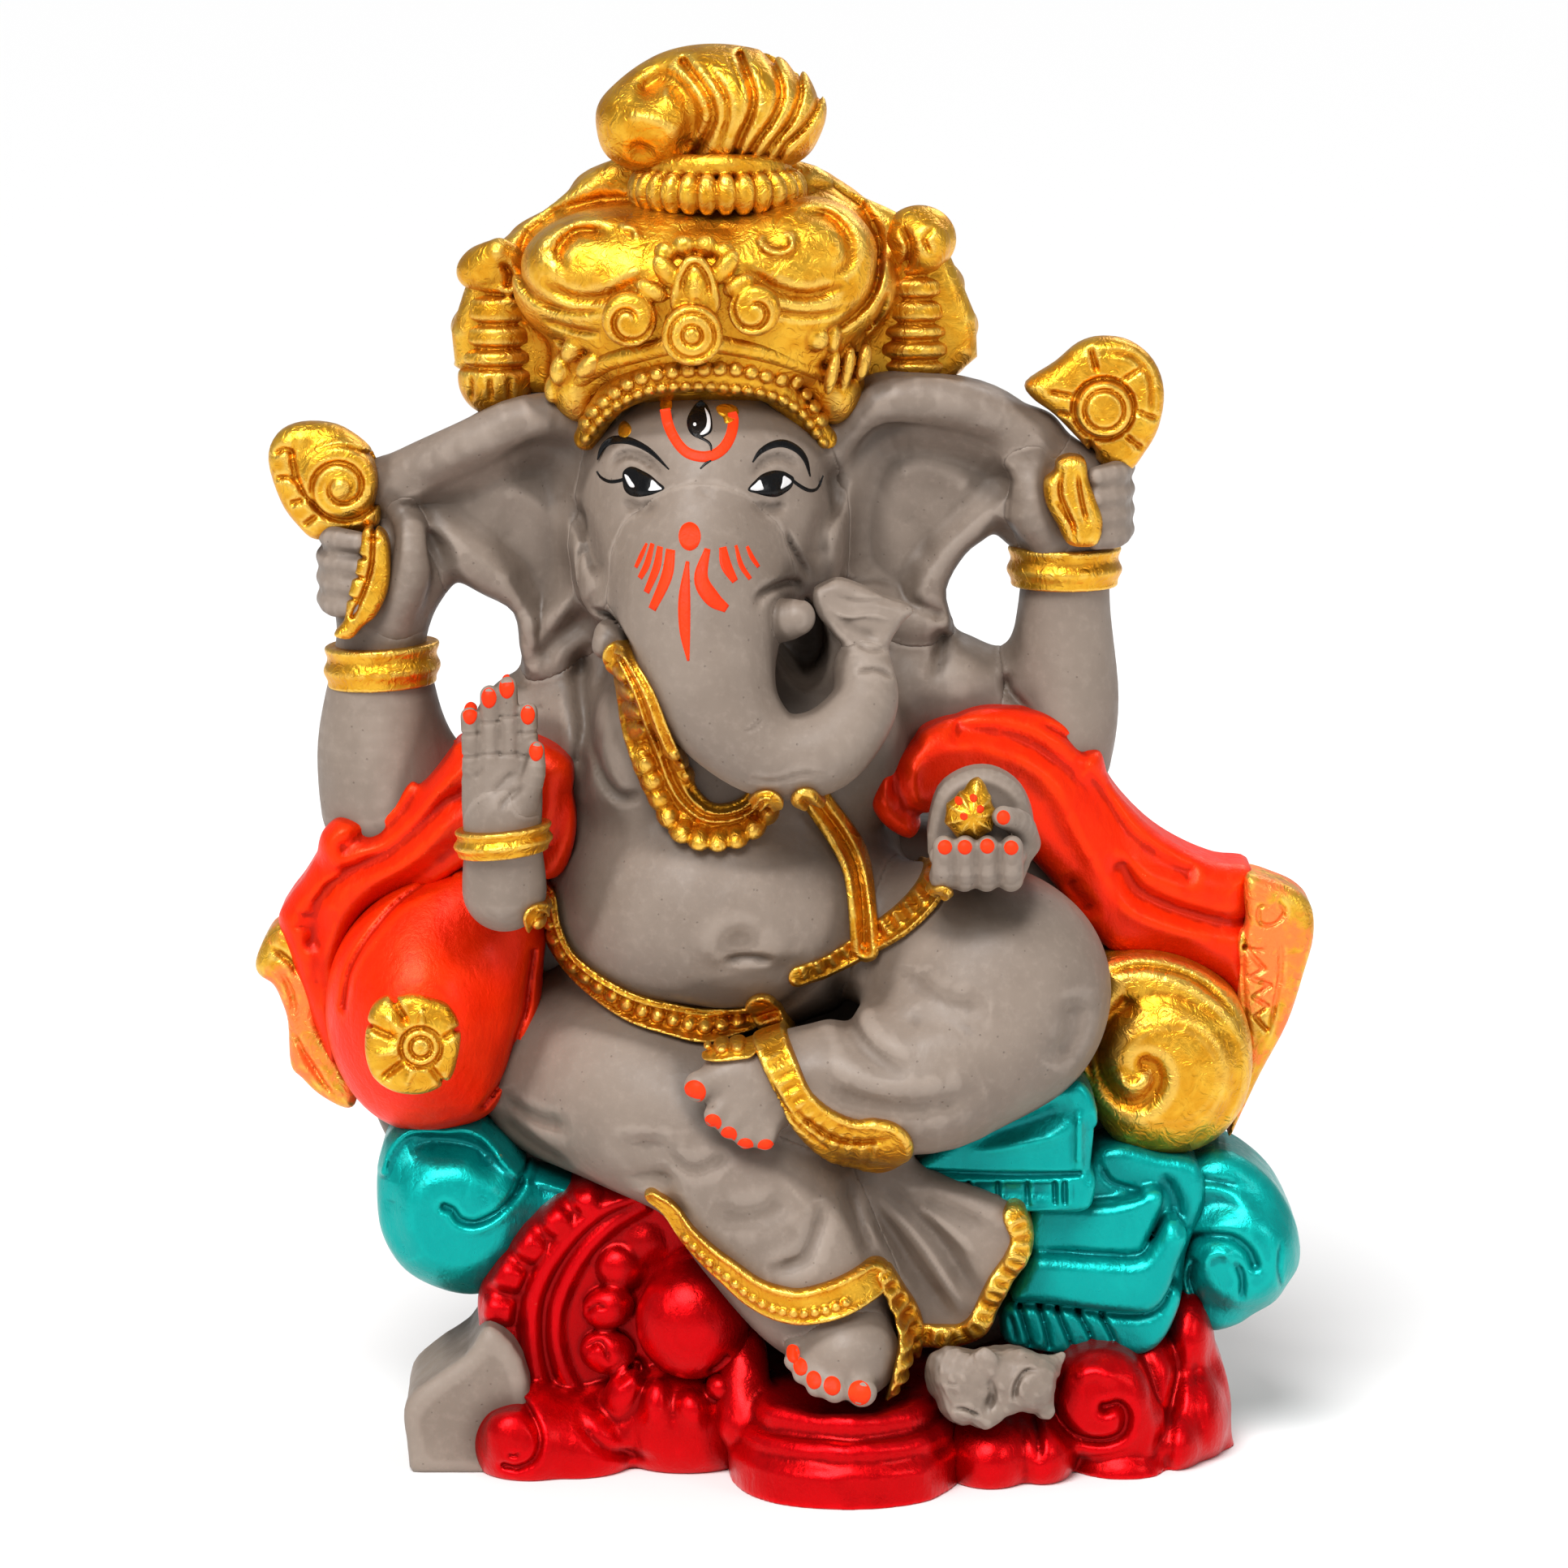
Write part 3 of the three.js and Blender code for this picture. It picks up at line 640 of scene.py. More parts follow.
FIGURE = [  # name, fillet to what comes before it, form
    (
        "torso",
        8,
        blend(
            9,
            egg((-12.5, -6, 119), (38.5, 36, 28.5)),
            egg((-12, -3, 150), (37, 28, 25)),
            limb((-52, 6, 152, 15), (-12, 8, 166, 18), (34, 6, 160, 15)),
            egg((-12, 12, 118), (44, 24, 34)),
            egg((-31, -20, 156), (10.5, 11, 14), (0, 15, 0)),
            egg((14, -16, 153), (11, 11, 13)),
        ),
    ),
    (
        "hanging_leg",
        4,
        limb(
            (-46, -4, 82, 21),
            (-30, -20, 78.5, 20.5),
            (-13, -30, 71, 19.5),
            (-3, -34, 57, 18.5),
            (6, -37, 43, 16),
            (11, -40, 35, 11),
        ),
    ),
    (
        "crossed_leg",
        5,
        blend(
            7,
            egg((45, -26, 103), (24, 23, 25)),
            limb((14, -10, 113, 15), (38, -22, 110, 19)),
            limb((42, -28, 97, 20), (30, -37, 88.5, 17.5), (12, -41, 86.5, 13.5), (-1, -43, 87.5, 10)),
        ),
    ),
    (
        "fan_pleats",
        7,
        plate(
            [(16, 72), (30, 66), (49, 58), (52, 49), (46, 39), (42, 30), (26, 28), (20, 42)],
            -3,
            -38,
            soft=5,
        ),
    ),
    (
        "standing_foot",
        3,
        blend(
            2,
            egg((13.3, -46.5, 29.5), (11, 12, 10), (-20, 0, 0)),
            limb((14, -50, 30, 3.4), (16.2, -57.5, 24.3, 3.2)),
            limb((10, -50, 31, 2.6), (10.6, -58, 24.6, 2.5)),
            limb((7, -50, 32, 2.4), (6.9, -57, 25.4, 2.3)),
            limb((4.6, -48, 33, 2.2), (3.9, -54.8, 27.4, 2.1)),
            limb((3.6, -46, 34, 2.0), (1.9, -52.4, 29.6, 1.9)),
        ),
    ),
    (
        "crossed_foot",
        3,
        blend(
            2,
            egg((-7.5, -48, 87), (10.5, 7.5, 9), (0, 35, 0)),
            limb((-10, -50, 91, 3.4), (-17.4, -53, 88.4, 3.3)),
            limb((-8, -51, 88, 2.6), (-14.2, -54.5, 82.6, 2.4)),
            limb((-5, -52, 87, 2.4), (-11.2, -54.8, 80, 2.3)),
            limb((-3, -51.5, 85, 2.3), (-7.9, -54.6, 77.8, 2.2)),
            limb((-0.5, -51, 84, 2.2), (-4.0, -54, 77.2, 2.1)),
        ),
    ),
    (
        "right_rear_arm",
        9,
        limb((-84, 4, 138, 15.5), (-86, 3, 152, 13.6), (-86, 1, 170, 9.8), (-85.6, 0, 178, 9)),
    ),
    (
        "left_rear_arm",
        9,
        limb((56, 4, 150, 14.5), (59, 3, 162, 12.4), (59.7, 1, 181, 9.6), (60, 0, 196, 9)),
    ),
    (
        "right_rear_hand",
        3,
        blend(
            2,
            egg((-84.8, -1.5, 186), (11.5, 8.5, 13.5)),
            limb((-80, -4, 204, 3.4), (-78.2, -9, 197, 3.8), (-79.5, -9, 188, 4.6), (-83, -6, 180, 5)),
            *[limb((-97, -2, z + 1, 2.4), (-95, -9, z + 0.5, 2.5), (-89.8, -11.5, z, 2.2))
                for z in (196.5, 191.2, 186.8, 182.2)],
        ),
    ),
    (
        "left_rear_hand",
        3,
        blend(
            2,
            egg((60.2, -1.5, 204), (11, 8.5, 12.5)),
            limb((53, -4, 217, 3.2), (51, -8, 211, 4), (52, -9, 203, 4.6), (56, -6, 197, 5)),
            *[limb((72, -2, z + 1, 2.4), (70, -9, z + 0.5, 2.6), (65.8, -11.5, z, 2.2))
                for z in (210.3, 205.6, 201.2, 197)],
        ),
    ),
    (
        "right_front_forearm",
        3,
        limb((-58.5, -33, 126, 8.8), (-58.6, -36, 138, 7.6), (-58.7, -37, 144, 7), flat=0.95),
    ),
    (
        "blessing_hand",
        2.5,
        blend(
            1.2,
            limb((-58.7, -37, 142.5, 7), (-58.6, -37, 149.5, 8.4), flat=0.6),
            limb((-64.6, -38.5, 153, 2.15), (-65.1, -39.5, 163.8, 1.9)),
            limb((-60.8, -38.8, 153, 2.25), (-60.9, -39.9, 168.4, 2.0)),
            limb((-56.9, -38.8, 153, 2.25), (-57.1, -39.9, 170.2, 2.0)),
            limb((-53.2, -38.5, 153, 2.15), (-53.0, -39.6, 164.8, 2.0)),
            limb((-54.6, -40, 146, 3.4), (-51.8, -41, 152, 2.4), (-51.2, -41, 157.2, 1.6)),
        ),
    ),
    (
        "offering_hand",
        2,
        blend(
            1.5,
            egg((41.2, -38, 140.5), (10.6, 12, 12.2)),
            plate([(31, 133), (31, 147), (36, 152.5), (43, 153.5), (49, 149.5), (51.3, 142), (50.8, 133),
                (46, 130)], -36, -47, soft=3),
            *[limb((x, -43, 130.8, 2.8), (x, -52, 132.4, 2.6), (x, -54.5, 139.2, 2.3))
                for x in (32.9, 37.2, 41.8, 46.8)],
            egg((40, -48, 136), (10, 5, 4.6)),
            limb((50, -44, 138, 3.2), (48.6, -49.5, 143, 2.8), (45, -53.5, 145.2, 2.3)),
        ),
    ),
    (
        "right_ear",
        6,
        blend(
            4,
            limb((-86, 0, 207.5, 4.6), (-81, 0, 203, 5), (-77, 0, 196, 5), (-74.6, 0, 188.5, 3.6),
                flat=0.9),
            limb((-44, -6, 221, 4.2), (-54, -8, 222, 5), (-66, -7.5, 217, 4.8), (-78, -5, 211.5, 4.2),
                (-86, -2, 208, 3.4)),
            plate([(-40, 224), (-56, 226), (-70, 219.5), (-84, 212), (-86.5, 206), (-76.5, 199),
                (-71.5, 189), (-65, 184.5), (-57.5, 180), (-56, 171), (-53, 166.5), (-45, 169),
                (-38, 176), (-36, 200)], 8, -7, soft=5),
        ),
    ),
    (
        "left_ear",
        6,
        blend(
            4,
            limb((54, 0, 218, 4.6), (50.5, 0, 210, 5), (48.6, 0, 203, 4.4), (49, 0, 198, 3.2), flat=0.9),
            limb((12, -7, 217, 4), (20, -9, 225, 4.8), (32, -9, 226, 5), (44, -7.5, 222.5, 4.6),
                (54, -4, 215.5, 3.8)),
            plate([(8, 222), (19, 231), (38, 230), (50, 225), (57.5, 216), (52, 205), (44, 197),
                (38.5, 192.5), (34.5, 185), (35, 176), (24, 174), (11, 184), (6, 204)], 8, -7, soft=5),
        ),
    ),
    (
        "head",
        7,
        blend(
            8,
            egg((-15.6, -8, 204), (27.5, 25, 27)),
            egg((-30, -11, 192), (12.5, 15, 14)),
            egg((-1, -11, 193), (12.5, 15, 14)),
            egg((-15, 8, 188), (24, 20, 26)),
            egg((-33, -17, 186), (7.5, 9, 6)),
            egg((-16, -17, 213), (17, 14, 12)),
        ),
    ),
    (
        "trunk",
        9,
        limb(
            (-16.5, -22, 201, 15),
            (-17.3, -31, 187.5, 17.4),
            (-16.4, -38, 175, 14.4),
            (-11.9, -42, 164.5, 11.2),
            (-2.7, -44, 156.7, 8.9),
            (8.2, -43, 157.3, 8.4),
            (16.4, -39, 165.8, 6.8),
            (16.4, -35, 174, 5.8),
            per=7,
        ),
    ),
    (
        "trunk_tip_flare",
        1.5,
        plate(
            [(6.2, 189.6), (10.7, 191.7), (15.7, 190.3), (20.7, 188), (26.8, 185.4), (24.4, 182.4),
                (22.4, 179.4), (20, 174.4), (15.4, 175.4), (11.8, 178.7), (9.3, 181.6), (6.6, 185.2)],
            -29,
            -37,
            soft=2,
            bow=lambda x, z: 0.16 * (z - 183) + 0.1 * (x - 16),
        ),
    ),
    ("right_tusk", 1.0, limb((-28, -22, 182.5, 4), (-34.5, -29, 179.8, 4.4), (-36.8, -32, 178, 3.4))),
    ("left_tusk", 1.0, limb((-6, -30, 182.2, 4.4), (-0.5, -37.5, 183.6, 4.5), (2.6, -39.5, 184.6, 3.9))),
]

EAR_BACK = 2.0  # the y that the creases on the ears reach back to
FINGER_JOINTS = [(-66.7, -63.2, 160.2), (-66.7, -63.2, 155.4), (-62.5, -59, 162.8), (-62.5, -59, 156),
    (-58.7, -55.2, 164), (-58.7, -55.2, 156), (-54.8, -51.4, 160.5), (-54.8, -51.4, 155.6)]
CREASES = [
    # ears
    dish([(-82, 204), (-68, 211), (-54, 216), (-45, 212), (-43, 190), (-52, 172), (-60, 187),
        (-73, 197)], 0, 7, 4.4, EAR_BACK, -16),
    dish([(12, 200), (16, 214), (26, 220), (42, 217), (50, 209), (42, 199), (32, 189), (27, 179),
        (14, 187)], 0, 7, 4.4, EAR_BACK, -16),
    dimple((-50, -8, 211), 6, 3.0),
    dimple((20, -8, 216), 6, 2.6),
    crease([(-66, 205), (-57, 206), (-50, 202), (-45.5, 195), (-45, 187)], 3.6, -1.5, EAR_BACK, -16),
    crease([(20, 208), (28, 211.5), (36, 209), (42, 203)], 3.6, -1.3, EAR_BACK, -16),
    *creases([[(-62, 200), (-56, 193), (-52, 184)],
        [(24, 203), (29, 196), (30.5, 188)]], 3.2, 0.8, EAR_BACK, -16),
    *creases([[(-85.1, 205.2), (-79.8, 202.8), (-76.3, 199.2), (-73.3, 193.8), (-71.9, 189.6)],
        [(54.8, 216.7), (51.7, 213.6), (49.3, 209.2), (48.1, 204.9), (46.3, 201.2)]], 3.0, 1.3, EAR_BACK),
    crease([(-45.1, 205.3), (-42.4, 201), (-40.4, 196.4), (-38.7, 191.8), (-37.6, 188.9)], 2.2, 2.2,
        EAR_BACK),
    crease([(-53.7, 168.4), (-49, 174.2), (-44.4, 177.7), (-40.4, 181.1)], 2.4, 2.2, EAR_BACK),
    crease([(-56, 176), (-50, 180), (-44, 184.5)], 2.4, -0.9, EAR_BACK),
    crease([(8.6, 215), (9.8, 209.9), (9.8, 204.7), (7.5, 200.1), (7, 194.4), (7.5, 189.8)], 2.4, 2.2,
        EAR_BACK),
    crease([(25.9, 183), (30.2, 181.2), (34.6, 178.7)], 1.6, 1.5, EAR_BACK),
    crease([(33.1, 178), (33.4, 173.7), (32.5, 169.3), (30.7, 166.2)], 1.6, 1.0),
    # arms, breast and belly
    crease([(-40.7, 174.5), (-42.7, 171), (-43, 165.8), (-42.2, 154.3), (-44.6, 142.6)], 2.4, 3.0, 0,
        -28),
    crease([(-37, 172), (-39.8, 161), (-40.3, 152)], 1.8, 1.6, 0, -30),
    crease([(-40.7, 156.9), (-39.3, 152.7), (-37.6, 148.4), (-34.5, 145.2), (-29.6, 145.7)], 1.2, 1.8, 0,
        -36),
    crease([(47.1, 167.4), (47.7, 163.7), (50.2, 161.1), (52.7, 158.6)], 1.2, 1.5),
    crease([(-12.7, 112.1), (-7.8, 112.8), (-2.3, 112.1)], 0.9, 2.0),
    dimple((-9.2, -43, 115.4), 3.4, 4.4),
    crease([(-20, 112.6), (-12, 110.6), (-2, 110.4), (6, 112)], 2.6, 0.8),
    crease([(-26.8, 101.9), (-19.8, 100.3), (-9.3, 98.6), (-1.6, 100), (4.8, 105), (10.4, 109.6)], 1.6,
        2.0),
    # face
    dimple((-29.8, -31, 211.3), 6.5, 2.0),
    dimple((-2.4, -31, 211), 6.5, 2.0),
    dimple((-29.8, -31, 211), 3.4, -1.5),
    dimple((-2.4, -31, 210.7), 3.4, -1.5),
    *creases([[(-36.6, 213), (-34, 215.9), (-31.2, 216.6), (-27.9, 215.4), (-25, 212.9)],
        [(-7, 213), (-3.2, 215.9), (0.1, 215.8), (3.5, 213.6)]], 1.0, 1.1),
    crease([(-34, 207.3), (-30, 206), (-26, 207.6)], 1.2, 0.9),
    crease([(-7, 207.4), (-3, 205.8), (1, 206.6)], 1.1, 0.9),
    dimple((-16.6, -37, 211.3), 1.6, 0.9),
    crease([(-37.2, 190.6), (-39, 187.8), (-40.4, 184.9), (-40.1, 182.6)], 1.2, 0.6),
    crease([(-40.5, 183.6), (-38.4, 183.4), (-35.8, 182.7), (-33, 179.9), (-30.5, 175.5)], 0.7, 2.0),
    crease([(-5.6, 187), (-5, 189.5), (-2, 190.6), (2, 190.2), (4, 187.8)], 0.9, 1.4),
    crease([(0.5, 201.5), (1.2, 198.5), (2.6, 195.7), (5.4, 190.4)], 0.6, 1.2),
    # trunk
    crease([(-4, 165.5), (-6.5, 163.5), (-9, 162.8)], 0.3, 0.4),
    crease([(-8, 153), (-2, 152.4), (4, 154), (9, 153.2)], 0.7, 0.35),
    crease([(22.5, 172), (19.2, 173.8), (15, 173.6)], 0.5, 0.9),
    dish([(-4.5, 178), (-3.4, 174), (-1.6, 170.7), (1, 167.4), (3.5, 165.6), (6.4, 165.9), (8.7, 167.7),
        (10, 170.7), (10.2, 174.3), (8.8, 179), (7, 184), (4.6, 187.5), (2, 184), (-1, 180)], 0.3, 3, 9,
        0, -36),
    # tip flare
    crease([(10, 189), (14, 187.5), (19.5, 187.3), (24, 186)], 0.6, 0.5),
    crease([(11, 184), (15, 181), (20, 180)], 1.4, 0.7),
    crease([(9, 186), (13, 184.4), (18, 184.6), (23, 183.4)], 0.7, -0.6),
    crease([(14, 179.6), (17.6, 177.6), (22, 177.8)], 0.6, 0.5),
    # legs
    crease([(11.9, 110.4), (11.5, 105), (13.7, 98.8), (19, 94.3), (26, 90.7)], 2.6, 1.7),
    crease([(17, 111), (16.6, 104), (20, 98), (27, 94.6)], 3.0, -0.8),
    *creases([[(26, 111.3), (26.9, 108.6), (33, 105), (42.7, 103.7)],
        [(4.9, 91.5), (12.8, 86.5), (21.6, 84.6), (31.2, 84.2), (41.7, 87)]], 2.8, 1.3),
    crease([(8, 95), (16, 90), (26, 88.6), (37, 90.4)], 3.0, -0.7),
    crease([(23, 98.8), (27.5, 101), (32.9, 101.4), (38, 99.8), (41.5, 96.6)], 2.2, 0.9),
    crease([(60.9, 106), (60.1, 97.3), (55.7, 90.8)], 3.0, 1.8),
    crease([(-59.7, 80.5), (-57.1, 76.8), (-50.9, 75), (-44.5, 75.9)], 2.2, 1.5),
    crease([(-60.7, 76), (-57.2, 71.4), (-51, 67.3), (-43.8, 65.3)], 2.2, 1.4),
    crease([(-28.6, 77), (-28.2, 71), (-27.2, 63)], 5.0, 2.0),
    crease([(-25, 73.3), (-19.7, 69.7), (-14.4, 71.5), (-12.0, 74.3)], 1.6, 1.0),
    crease([(-25.9, 70.1), (-23.3, 62.9), (-20, 56.5)], 2.4, 1.0),
    crease([(7.7, 63.1), (7.1, 57.9), (4.6, 52), (1.4, 50.1), (-3.7, 48.8)], 1.8, 1.3),
    crease([(-15.7, 61.8), (-10, 60), (-3.1, 61.5), (2, 65.4)], 2.8, 1.0),
    crease([(17.3, 60.9), (22.4, 53.4), (27.5, 45.5), (32, 39.6), (36.2, 33)], 2.0, 1.5),
    crease([(20.5, 63.6), (26.8, 58.6), (32.6, 52), (38, 43.6), (42, 38)], 2.0, 1.4),
    crease([(18.6, 62.4), (24.6, 56), (30, 49), (35, 41), (39, 35)], 1.8, -1.0),
    crease([(15.3, 63.2), (18.5, 55.7), (22.4, 48.5), (26.2, 42.6), (29.4, 35.7)], 1.8, -0.9),
    crease([(12.5, 65.7), (15.1, 57.1), (18, 49)], 1.6, 1.1),
    crease([(26, 62), (35, 58.4), (44, 53.5)], 2.2, 1.1),
    crease([(24, 60.6), (33, 55.4), (42, 48)], 1.8, -0.8),
    # blessing hand
    *creases([[(a, z), (b, z + 0.2)] for a, b, z in FINGER_JOINTS], 0.35, 0.3, 0, -50, ends=False),
    crease([(-64.1, 150.7), (-62, 153.5)], 0.6, 0.3, 0, -50),
    crease([(-60.6, 147.9), (-57.8, 150.7), (-55, 152.8)], 0.8, 0.5, 0, -50),
    crease([(-58.6, 144.4), (-57.9, 146.5), (-54.7, 149), (-53.3, 150)], 0.8, 0.6, 0, -50),
    # feet
    crease([(2.5, 33), (3.2, 30)], 0.6, 0.6),
]


def clay(name=None):
    """The clay figure, or one piece of it: what is nearer its own form than its neighbours'."""
    forms = [form for n, _, form in FIGURE if name in (None, n)]

    def distance(p):
        low, high = p.min(1), p.max(1)
        whole = own = other = None
        for n, k, form in FIGURE:
            if form.gap(low, high) > REACH + k:
                continue
            d = form(p)
            whole = d if whole is None else smin(whole, d, k)
            if n == name:
                own = d
            else:
                other = d if other is None else np.minimum(other, d)
        if whole is None or (name and own is None):
            return np.full(p.shape[1], FAR, np.float32)
        whole = with_cuts(p, whole, CREASES)
        if own is None or other is None:
            return whole
        return smax(whole, (own - other) * 0.5 - HALF_SEAM, 0.4)

    return Form(distance, forms[0].low - 3, forms[0].high + 3)


CLAY_PITCH = {
    "torso": 1.8,
    "hanging_leg": 1.5,
    "crossed_leg": 1.5,
    "head": 1.4,
    "trunk": 1.3,
    "right_rear_arm": 1.4,
    "left_rear_arm": 1.4,
    "blessing_hand": 0.8,
    "offering_hand": 0.9,
    "right_rear_hand": 0.9,
    "left_rear_hand": 0.9,
    "standing_foot": 0.9,
    "crossed_foot": 0.9,
    "right_tusk": 0.9,
    "left_tusk": 0.9,
    "trunk_tip_flare": 0.9,
}
BODY = Form(clay().distance, (-110, -63, 20), (90, 40, 235))
for part_name, _, _ in FIGURE:
    piece(part_name, "clay", clay(part_name), CLAY_PITCH.get(part_name, 1.2))


# ---------------------------------------------------------------- crown


def curl(centre, radius, phase, sense, outer):
    """A small scroll beside the rosette, its centre in x and z."""
    x, z = centre
    disc = drum((x, -29, z), radius, 4, 1.6, 0.6)
    return carved(disc, whorl(centre, 4.4, 0.6, 1.3, phase, sense, outer, 0.8))


rosette = blend(
    0.7,
    carved(drum((-18.9, -33, 242.5), 6.3, 3.2, 1.2, 0.5), rings((-18.9, 242.5), [2.0, 4.6], 0.45, 0.8)),
    egg((-18.9, -36, 242.5), (1.5, 1.2, 1.5)),
    carved(
        plate([(-22.8, 247), (-22.8, 253.4), (-20.8, 257.6), (-18.4, 258.6), (-16, 257.6),
            (-13.9, 253.4), (-13.6, 247)], -26, -33.4, 1.2),
        crease([(-21, 248.5), (-20.9, 253), (-19.6, 256), (-18.4, 256.8), (-17, 256), (-15.6, 253),
            (-15.4, 248.5)], 0.5, 0.9),
    ),
    egg((-18.3, -33, 251.7), (1.7, 1.4, 3.4)),
    egg((-24, -30.5, 255), (2.3, 2.2, 4.2), (0, -38, 0)),
    egg((-12.3, -30.5, 256), (2.3, 2.2, 4.2), (0, 38, 0)),
    egg((-27.2, -30.5, 251.2), (2.1, 2.2, 3.6), (0, -62, 0)),
    egg((-9.4, -30.5, 252.4), (2.1, 2.2, 3.6), (0, 62, 0)),
    *[egg((x, -28.5, z), (2.4, 2.2, 2.2))
        for x, z in [(-24.5, 259), (-20.6, 260.4), (-16.2, 260.4), (-12.4, 259)]],
    curl((-31.9, 245.4), 5.7, 0.2, 1, 5.2),
    curl((-6.1, 247.3), 5.4, 0.55, -1, 5.0),
)
piece("crown_rosette", "gold_paint", rosette, 0.8)

brow_band = blend(
    1.5,
    limb((-41.6, -11, 218.4, 2.6), (-36, -18.4, 227.4, 3.4), (-27, -23.4, 232.4, 4.0),
        (-19, -25, 234, 4.2), (-11, -24.2, 233.4, 4.0), (-2, -19.6, 229.8, 3.4), (8.6, -11, 218.2, 2.6)),
    limb((-42.7, -15, 230.9, 1.6), (-37.1, -21.5, 235.4, 2), (-31.2, -26, 237.6, 2),
        (-24.5, -29, 239.6, 2), per=3),
    limb((-13.1, -29, 240, 2), (-5.4, -26.5, 238.3, 2), (2, -21.5, 235.4, 2), (10.1, -14, 231.7, 1.6),
        per=3),
)
brow_line = [(-42.4, 220.4), (-40.5, 224.1), (-37.2, 227.5), (-32.7, 231.2), (-27.9, 233.4),
    (-22.4, 234.4), (-16.4, 234.9), (-11.3, 234.9), (-6.1, 233.9), (-1.3, 232.3), (3.1, 231),
    (5.8, 227.4), (8.6, 221.2)]
brow_low = [(-42.2, 217.5), (-39.8, 221), (-36.5, 225), (-31.8, 228.4), (-25.9, 230.6), (-16.5, 231),
    (-8, 230), (-1.2, 228), (3.2, 225), (6.4, 220.6), (8.8, 216.5)]
piece(
    "crown_band",
    "gold_paint",
    blend(0.5, brow_band, beads(brow_band, brow_line, 3.4, 1.5, 0.2, 0),
        beads(brow_band, brow_low, 2.6, 1.2, 0.1, 0)),
    0.8,
)


def knot_folds(p):
    """The topknot's folds, carried on round its back."""
    angle = np.arctan2(p[1] + 5, p[0] + 12.5)
    return 0.9 * np.sin(angle * 13 + p[2] * 0.12) * np.clip((p[1] + 2) / 6, 0, 1)


knot = carved(
    blend(
        6,
        egg((-12.5, -5, 288), (21.5, 14, 12.4), (0, 5, 0)),
        egg((-28, -8, 284), (11.5, 10.5, 7.6), (0, 18, 0)),
        egg((-8, -4, 280), (13, 12, 6)),
        egg((-30, -6, 280), (7.4, 8.5, 5)),
    ),
    crease([(-20.9, 297), (-16.5, 291.8), (-14.6, 286.6), (-16.5, 281.5), (-19.1, 277.6)], 1.0, 1.8,
        ends=False),
    crease([(-17.2, 297.7), (-12.4, 291.1), (-11.7, 286.6), (-12.8, 282.2), (-13.9, 277.9)], 0.7, 1.0),
    crease([(-9.1, 298.2), (-6.5, 291.1), (-6.9, 286.6), (-9.1, 281.5), (-10.6, 276.6)], 0.9, 1.9,
        ends=False),
    *creases([[(-3.4, 299), (-0.6, 291.8), (-1.8, 286.4), (-5.4, 281.2), (-8, 276.8)],
        [(1.5, 297.5), (3.4, 291.3), (1.4, 285.2), (-2.4, 280.2), (-4.7, 276.6)]], 0.9, 1.7, ends=False),
    crease([(6, 294.3), (7.1, 288.8), (4.6, 284.0), (0.5, 280.2), (-1.3, 277.0)], 0.8, 1.4, ends=False),
    crease([(-28.3, 291.6), (-24.6, 293.6), (-20.9, 291.2), (-18.8, 286), (-19.7, 280.9)], 2.2, 2.6,
        ends=False),
    crease([(-34, 286), (-29, 286.2), (-24, 284), (-21.5, 280)], 2.0, -1.2),
    dimple((-29.8, -16, 278.6), 2.2, 2.4),
    crease([(-12, 299), (-9.5, 294), (-8.6, 290)], 0.35, 0.4),
    knot_folds,
)
piece("topknot", "gold_paint", knot, 1.0)


def gadroon(centre, radius, thick, count, squash):
    """A ring of rounded lobes about Z."""
    cx, cy, cz = centre
    groove, tall = 1.3, 0.8  # mm that the gaps sink, and the lobes' width over their height

    def distance(p):
        x, y, z = p[0] - cx, (p[1] - cy) / squash, p[2] - cz
        rho = np.hypot(x, y)
        lobe = np.abs(np.cos(np.arctan2(y, x) * count / 2))
        t = thick - groove * (1 - lobe) ** 1.5
        return (np.sqrt((rho - radius) ** 2 + (z * tall) ** 2) - t) * tall

    size = radius + thick
    return Form(distance, [cx - size, cy - size * squash, cz - thick * 1.3],
        [cx + size, cy + size * squash, cz + thick * 1.3])


piece(
    "topknot_bead_ring",
    "gold_paint",
    blend(0.8, gadroon((-14, -6, 270.2), 15.4, 3.5, 26, 0.85),
        hoop((-14, -6, 275.0), 13.2, 2.3, (0, 0.08, 1), 0.85)),
    0.9,
)
piece(
    "right_ear_roll",
    "gold_paint",
    carved(
        blend(
            2,
            limb((-60.2, 4, 245, 7.0), (-60.4, 4, 238, 7.2), (-61, 4, 229.5, 8.2)),
            egg((-61.5, 3, 253), (7.0, 7, 5.4)),
            limb((-66, 2, 252, 3), (-60, -2, 256.5, 3.2), (-56, 0, 252, 3), (-58, -2, 248, 2.4)),
        ),
        lines_at([247.6, 241.4, 236.3, 232.2], 0.8, 1.5),
        crease([(-59.5, 255), (-57.8, 252), (-58.6, 248.5)], 0.8, 1.6),
        *creases([[(x, 231), (x, 227), (x, 225)] for x in (-66, -62, -58)], 0.6, 0.8),
    ),
    0.9,
)
piece(
    "left_ear_roll",
    "gold_paint",
    carved(
        blend(
            2,
            limb((27.6, 4, 250, 6.4), (27.9, 4, 243, 6.6), (27.6, 4, 235.5, 8)),
            egg((28.6, 3, 259), (7.8, 7, 7.2)),
            egg((30, -2, 258), (4.4, 3.4, 5)),
        ),
        lines_at([251.5, 246.6, 241.6, 238.0, 233.8], 0.8, 1.5),
        crease([(24.5, 262), (26.5, 258.5), (26, 254.5), (23.5, 252)], 0.9, 1.6),
        crease([(31.5, 262), (29.5, 259.5), (31, 256.5)], 0.6, 1.0),
    ),
    0.9,
)


def turban_folds(p):
    """The turban's windings, carried on round its back."""
    angle = np.arctan2(p[1] - 2, p[0] + 16.7)
    return 0.9 * np.sin(p[2] * 0.62 + angle * 2) * np.clip((p[1] - 4) / 6, 0, 1)


